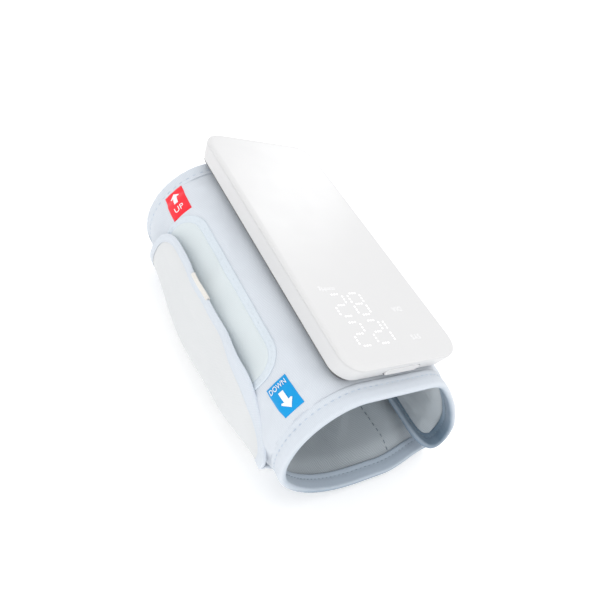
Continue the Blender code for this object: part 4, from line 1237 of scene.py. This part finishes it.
def stadium_bar(name, width, height, centre_x, z, levels, steps=12):
    """A bar along Y with round ends, through (y, inset) levels."""
    verts = []
    for y, inset in levels:
        radius = height / 2 - inset
        reach = width / 2 - height / 2
        for side, start in ((1, -90), (-1, 90)):
            for k in range(steps + 1):
                angle = radians(start + 180 * k / steps)
                verts.append((centre_x + side * reach + radius * cos(angle), y, z + radius * sin(angle)))
    columns = 2 * (steps + 1)
    faces = grid_faces(len(levels), columns, wrap=True) + end_caps(len(levels), columns)
    return outward(new_object(name, np.array(verts), faces))


def pan_block(name, inset, low, high):
    """A block over the pan's outline, set in from its outside."""
    side_in, end_in = (MONITOR_W - PAN_W) / 2 + inset, (MONITOR_L - PAN_L) / 2 + inset
    return lofted(name, [(side_in, end_in, 4.0 - inset, low), (side_in, end_in, 4.0 - inset, high)], 6)


def make_tray():
    """Tray with drawn-in lower walls, the pan under it, and a thin dark ring under the lip as painted shade.
    """
    levels = [(3.0, 4.0, CORNER_R - 2.4, 0.0), (SIDE_TAPER + 0.42, END_TAPER + 0.42, CORNER_R - 0.6, 0.0),
              (SIDE_TAPER + 0.1, END_TAPER + 0.1, CORNER_R - 0.4, 0.18),
              (SIDE_TAPER, END_TAPER, CORNER_R - 0.3, 0.5)]
    for k in range(1, 8):
        share = k / 8
        levels.append((SIDE_TAPER * (1 - share), END_TAPER * (1 - share) ** 1.2, CORNER_R - 0.3 + 0.3 * share,
                       0.5 + (PARTING_Z - 0.75) * share))
    levels += [(0.0, 0.0, CORNER_R, PARTING_Z - 0.05), (0.04, 0.04, CORNER_R, PARTING_Z),
               (1.4, 2.7, CORNER_R - 2.1, PARTING_Z), (1.4, 2.7, CORNER_R - 2.1, 1.2)]
    tray = lofted("monitor_tray", levels)
    half = MONITOR_L / 2
    slot = stadium_bar("slot_tool", BUTTON_W + 0.9, BUTTON_H + 0.9, 0.0, BUTTON_Z,
                       [(-half - 3, 0.0), (-half + 5.0, 0.0)])
    cut(tray, slot)
    socket = stadium_bar("socket_tool", 9.6, 3.8, 10.0, 4.1, [(half - 5.0, 0.0), (half + 3, 0.0)])
    cut(tray, socket)
    cut(tray, pan_block("floor_opening", PAN_WALL, -1.0, 3.0))
    tray.data.shade_smooth()
    tray.data.set_sharp_from_angle(angle=SHARP_ANGLE)
    pan = lofted("monitor_pan", [(8.2, 12.4, 3.2, PAN_BOTTOM), (7.0, 11.2, 3.9, PAN_BOTTOM + 0.5),
                                 (6.75, 11.0, 4.0, PAN_BOTTOM + 1.2), (6.75, 11.0, 4.0, 0.6)], 6)
    cut(pan, pan_block("pan_room", PAN_WALL, PAN_BOTTOM + PAN_WALL, 3.0))
    finish_piece(tray, "rest", WHITE, "white_plastic", "monitor_base_shell")
    # A thin dark ring under the lip: painted shade for the shadow gap between slab and cloth.
    lip_shade_ring = lofted("monitor_lip_shade_ring", [(1.4, 4.5, CORNER_R - 2.0, -0.5), (0.75, 3.4, CORNER_R - 1.2, -0.4),
                                       (0.75, 3.4, CORNER_R - 1.2, -0.02)])
    cut(lip_shade_ring, pan_block("lip_shade_ring_opening", -0.15, -2.0, 1.0))
    finish_piece(pan, "rest", WHITE, "white_plastic")
    finish_piece(lip_shade_ring, "rest", DARK, "grey_plastic")


def make_lid():
    """Lid with a soft rolled edge and a shallow step where it meets the tray."""
    bottom = PARTING_Z + 0.05
    levels = [(1.2, 1.2, CORNER_R - 1.2, bottom), (0.04, 0.04, CORNER_R, bottom),
              (0.0, 0.0, CORNER_R, bottom + 0.05)]
    edge_w, edge_h = 1.8, MONITOR_TOP - bottom - 0.25
    for k in range(11):
        angle = radians(90 * k / 10)
        inset = edge_w * (1 - cos(angle))
        levels.append((inset, inset * 1.08, CORNER_R + inset * 0.2, bottom + 0.25 + edge_h * sin(angle)))
    levels += [(edge_w + 1.2, edge_w + 1.4, CORNER_R + 0.6, MONITOR_TOP), (12.0, 14.0, CORNER_R, MONITOR_TOP)]
    lid = lofted("monitor_lid", levels, 16)
    cut(lid, lofted("lid_room", [(2.7, 3.9, 4.3, 6.0), (2.7, 3.9, 4.3, MONITOR_TOP - COVER_T)]))
    lid.data.set_sharp_from_angle(angle=SHARP_ANGLE)
    finish_piece(lid, "rest", WHITE, "white_plastic", "monitor_top_cover")


def make_button():
    face = -69.55
    levels = [(face + 2.7, 0.0), (face + 0.35, 0.0), (face + 0.12, 0.08), (face, 0.32), (face + 0.10, 0.9),
              (face + 0.16, 1.5)]
    cap = stadium_bar("start_button_cap", BUTTON_W, BUTTON_H, 0.0, BUTTON_Z, levels)
    cap.data.set_sharp_from_angle(angle=radians(40))
    finish_piece(cap, "button", BUTTON_WHITE, "white_plastic", "start_button")
    half = MONITOR_L / 2
    # A dark ring in the slot round the button: painted shade for the shadow in the gap.
    gap_shade_ring = stadium_bar("button_gap_shade_ring", BUTTON_W + 0.86, BUTTON_H + 0.86, 0.0, BUTTON_Z,
                       [(-half + 1.2, 0.0), (-half + 2.6, 0.0)])
    cut(gap_shade_ring, stadium_bar("gap_shade_ring_bore", BUTTON_W + 0.2, BUTTON_H + 0.2, 0.0, BUTTON_Z,
                          [(-half, 0.0), (-half + 4.0, 0.0)]))
    finish_piece(gap_shade_ring, "rest", DARK, "grey_plastic")


make_tray()
make_lid()
make_button()


# Display: light that shines through the lid. The reader looks from the back, so right is -X, up is -Y.

SEGMENTS = {"a": (0, 1.0, 0), "g": (0, 0.0, 0), "d": (0, -1.0, 0),
            "f": (-1, 0.5, 1), "b": (1, 0.5, 1), "e": (-1, -0.5, 1), "c": (1, -0.5, 1)}
LIT = {"1": "bc", "2": "abged", "8": "abcdefg"}
DIGIT_W, DIGIT_H, DOT_R, DOT_STEP = 6.6, 11.2, 0.43, 1.50


def dot(verts, faces, x, y, radius, long_way):
    """A low dome, a little longer along its segment."""
    base = len(verts)
    sides = 14
    for ring, lift in ((1.0, 0.0), (0.92, 0.03), (0.6, 0.05)):
        for k in range(sides):
            angle = 2 * pi * k / sides
            stretch = (1.12, 1.0) if long_way == 0 else (1.0, 1.12)
            verts.append((x + radius * ring * stretch[0] * cos(angle),
                          y + radius * ring * stretch[1] * sin(angle), MONITOR_TOP + lift))
    faces += grid_faces(3, sides, base, wrap=True) + end_caps(3, sides, base)


def make_display():
    verts, faces = [], []
    for figure, x, y in (("1", -4.4, -54.7), ("2", -7.0, -54.7), ("2", -16.9, -54.7),
                         ("8", -7.2, -40.4), ("2", -16.8, -40.4)):
        for letter in LIT[figure]:
            across, up, turned = SEGMENTS[letter]
            if figure == "1":
                across = -1
            cx, cy = x - across * DIGIT_W / 2, y - up * DIGIT_H / 2
            for k in (-1, 0, 1):
                dx, dy = (0.0, k * DOT_STEP) if turned else (k * DOT_STEP * 0.92, 0.0)
                dot(verts, faces, cx + dx, cy + dy, DOT_R, turned)
    lights = outward(new_object("display_dots", np.array(verts), faces))
    finish_piece(lights, "rest", LIGHT_DOT, "white_plastic")

    def place(across, along):
        return -across, -along

    def on_lid(x, y, high):
        return np.stack([x, y, MONITOR_TOP + high], -1)

    words = [flat_letters("SYS", 3.4, -11.0, 59.3), flat_letters("DIA", 3.4, -11.4, 44.7),
             flat_letters("mmHg", 3.0, 18.8, 31.9)]
    text = emboss("display_words", words, place, on_lid, 0.02, 0.05)
    finish_piece(text, "rest", PRINT, "white_plastic")


make_display()


# ---------------------------------------------------------------- finishes of the CAD nodes that stay

INNER_FINISH = {
    BOARD: ("main_board", "display_board", "charge_board"),
    STEEL: ("case_screw_1", "case_screw_2", "case_screw_3", "case_screw_4", "charging_socket", "motor_can",
            "motor_shaft", "valve_body", "valve_plunger", "battery_lead"),
    DARK: ("button_switch", "led_array", "light_mask", "battery", "pump_head", "pressure_sensor",
           "motor_lead", "dock_plate"),
    WHITE: ("pump_eccentric", "air_manifold", "air_nipple"),
    RUBBER: ("pump_tube", "valve_tube", "sensor_tube", "bladder"),
    FILM: ("curl_plate",),
}


def finish_inner_nodes():
    for material, names in INNER_FINISH.items():
        for name in names:
            mesh = NODES[name].data
            mesh.materials.clear()
            mesh.materials.append(material)


finish_inner_nodes()


# ---------------------------------------------------------------- floor, light and camera

def make_stage():
    material, tree, shader = start_material("studio_floor")
    plug(tree, shader, {"Base Color": (0.80, 0.80, 0.80, 1.0), "Roughness": 0.9,
                        "Emission Color": (1.0, 1.0, 1.0, 1.0), "Emission Strength": 0.32})
    size, z = 400.0, -0.0004
    mesh = bpy.data.meshes.new("studio_floor")
    corners = [(-size, -size, z), (size, -size, z), (size, size, z), (-size, size, z)]
    mesh.from_pydata(corners, [], [(0, 1, 2, 3)])
    mesh.materials.append(material)
    scene_object("studio_floor", mesh)


def area_light(name, place, target, size, power):
    light = bpy.data.lights.new(name, "AREA")
    light.shape = "DISK"
    light.size = size
    light.energy = power
    obj = scene_object(name, light)
    obj.location = place
    obj.rotation_mode = "QUATERNION"
    obj.rotation_quaternion = (Vector(target) - Vector(place)).to_track_quat("-Z", "Y")


HORIZON, ZENITH = 0.63, 1.46     # brightness of the studio's walls and ceiling


def make_lights():
    world = bpy.data.worlds.new("studio")
    bpy.context.scene.world = world
    world.use_nodes = True
    tree = world.node_tree
    aim = made_node(tree, "ShaderNodeTexCoord").outputs["Generated"]
    height = made_node(tree, "ShaderNodeSeparateXYZ", {0: aim}).outputs[2]
    plug(tree, tree.nodes["Background"],
         {0: (1.0, 1.0, 1.0, 1.0), 1: ramp(tree, height, 0.0, 1.0, HORIZON, ZENITH)})
    middle = (0.0, 0.0, 0.05)
    area_light("key_light", (0.79, 0.90, 0.66), middle, 0.34, 0.95)
    area_light("fill_light", (-0.30, -0.85, 0.02), middle, 0.4, 1.4)
    bpy.context.scene.view_settings.view_transform = "Standard"


CAMERA_AT = (-162.0, -138.5, 131.5)
CAMERA_RIGHT = Vector((0.780, -0.450, 0.435))
CAMERA_AHEAD = Vector((0.624, 0.501, -0.600))
LENS = 33.2


def make_camera():
    data = bpy.data.cameras.new("camera")
    data.lens, data.sensor_width = LENS, 36.0
    data.clip_start, data.clip_end = 0.01, 1000.0
    camera = scene_object("camera", data)
    back = -CAMERA_AHEAD.normalized()
    right = (CAMERA_RIGHT - back * CAMERA_RIGHT.dot(back)).normalized()
    up = back.cross(right)
    turn = Matrix((right, up, back)).transposed()
    camera.matrix_world = Matrix.Translation(Vector(row(CAMERA_AT))) @ turn.to_4x4()
    bpy.context.scene.camera = camera


make_stage()
make_lights()
make_camera()
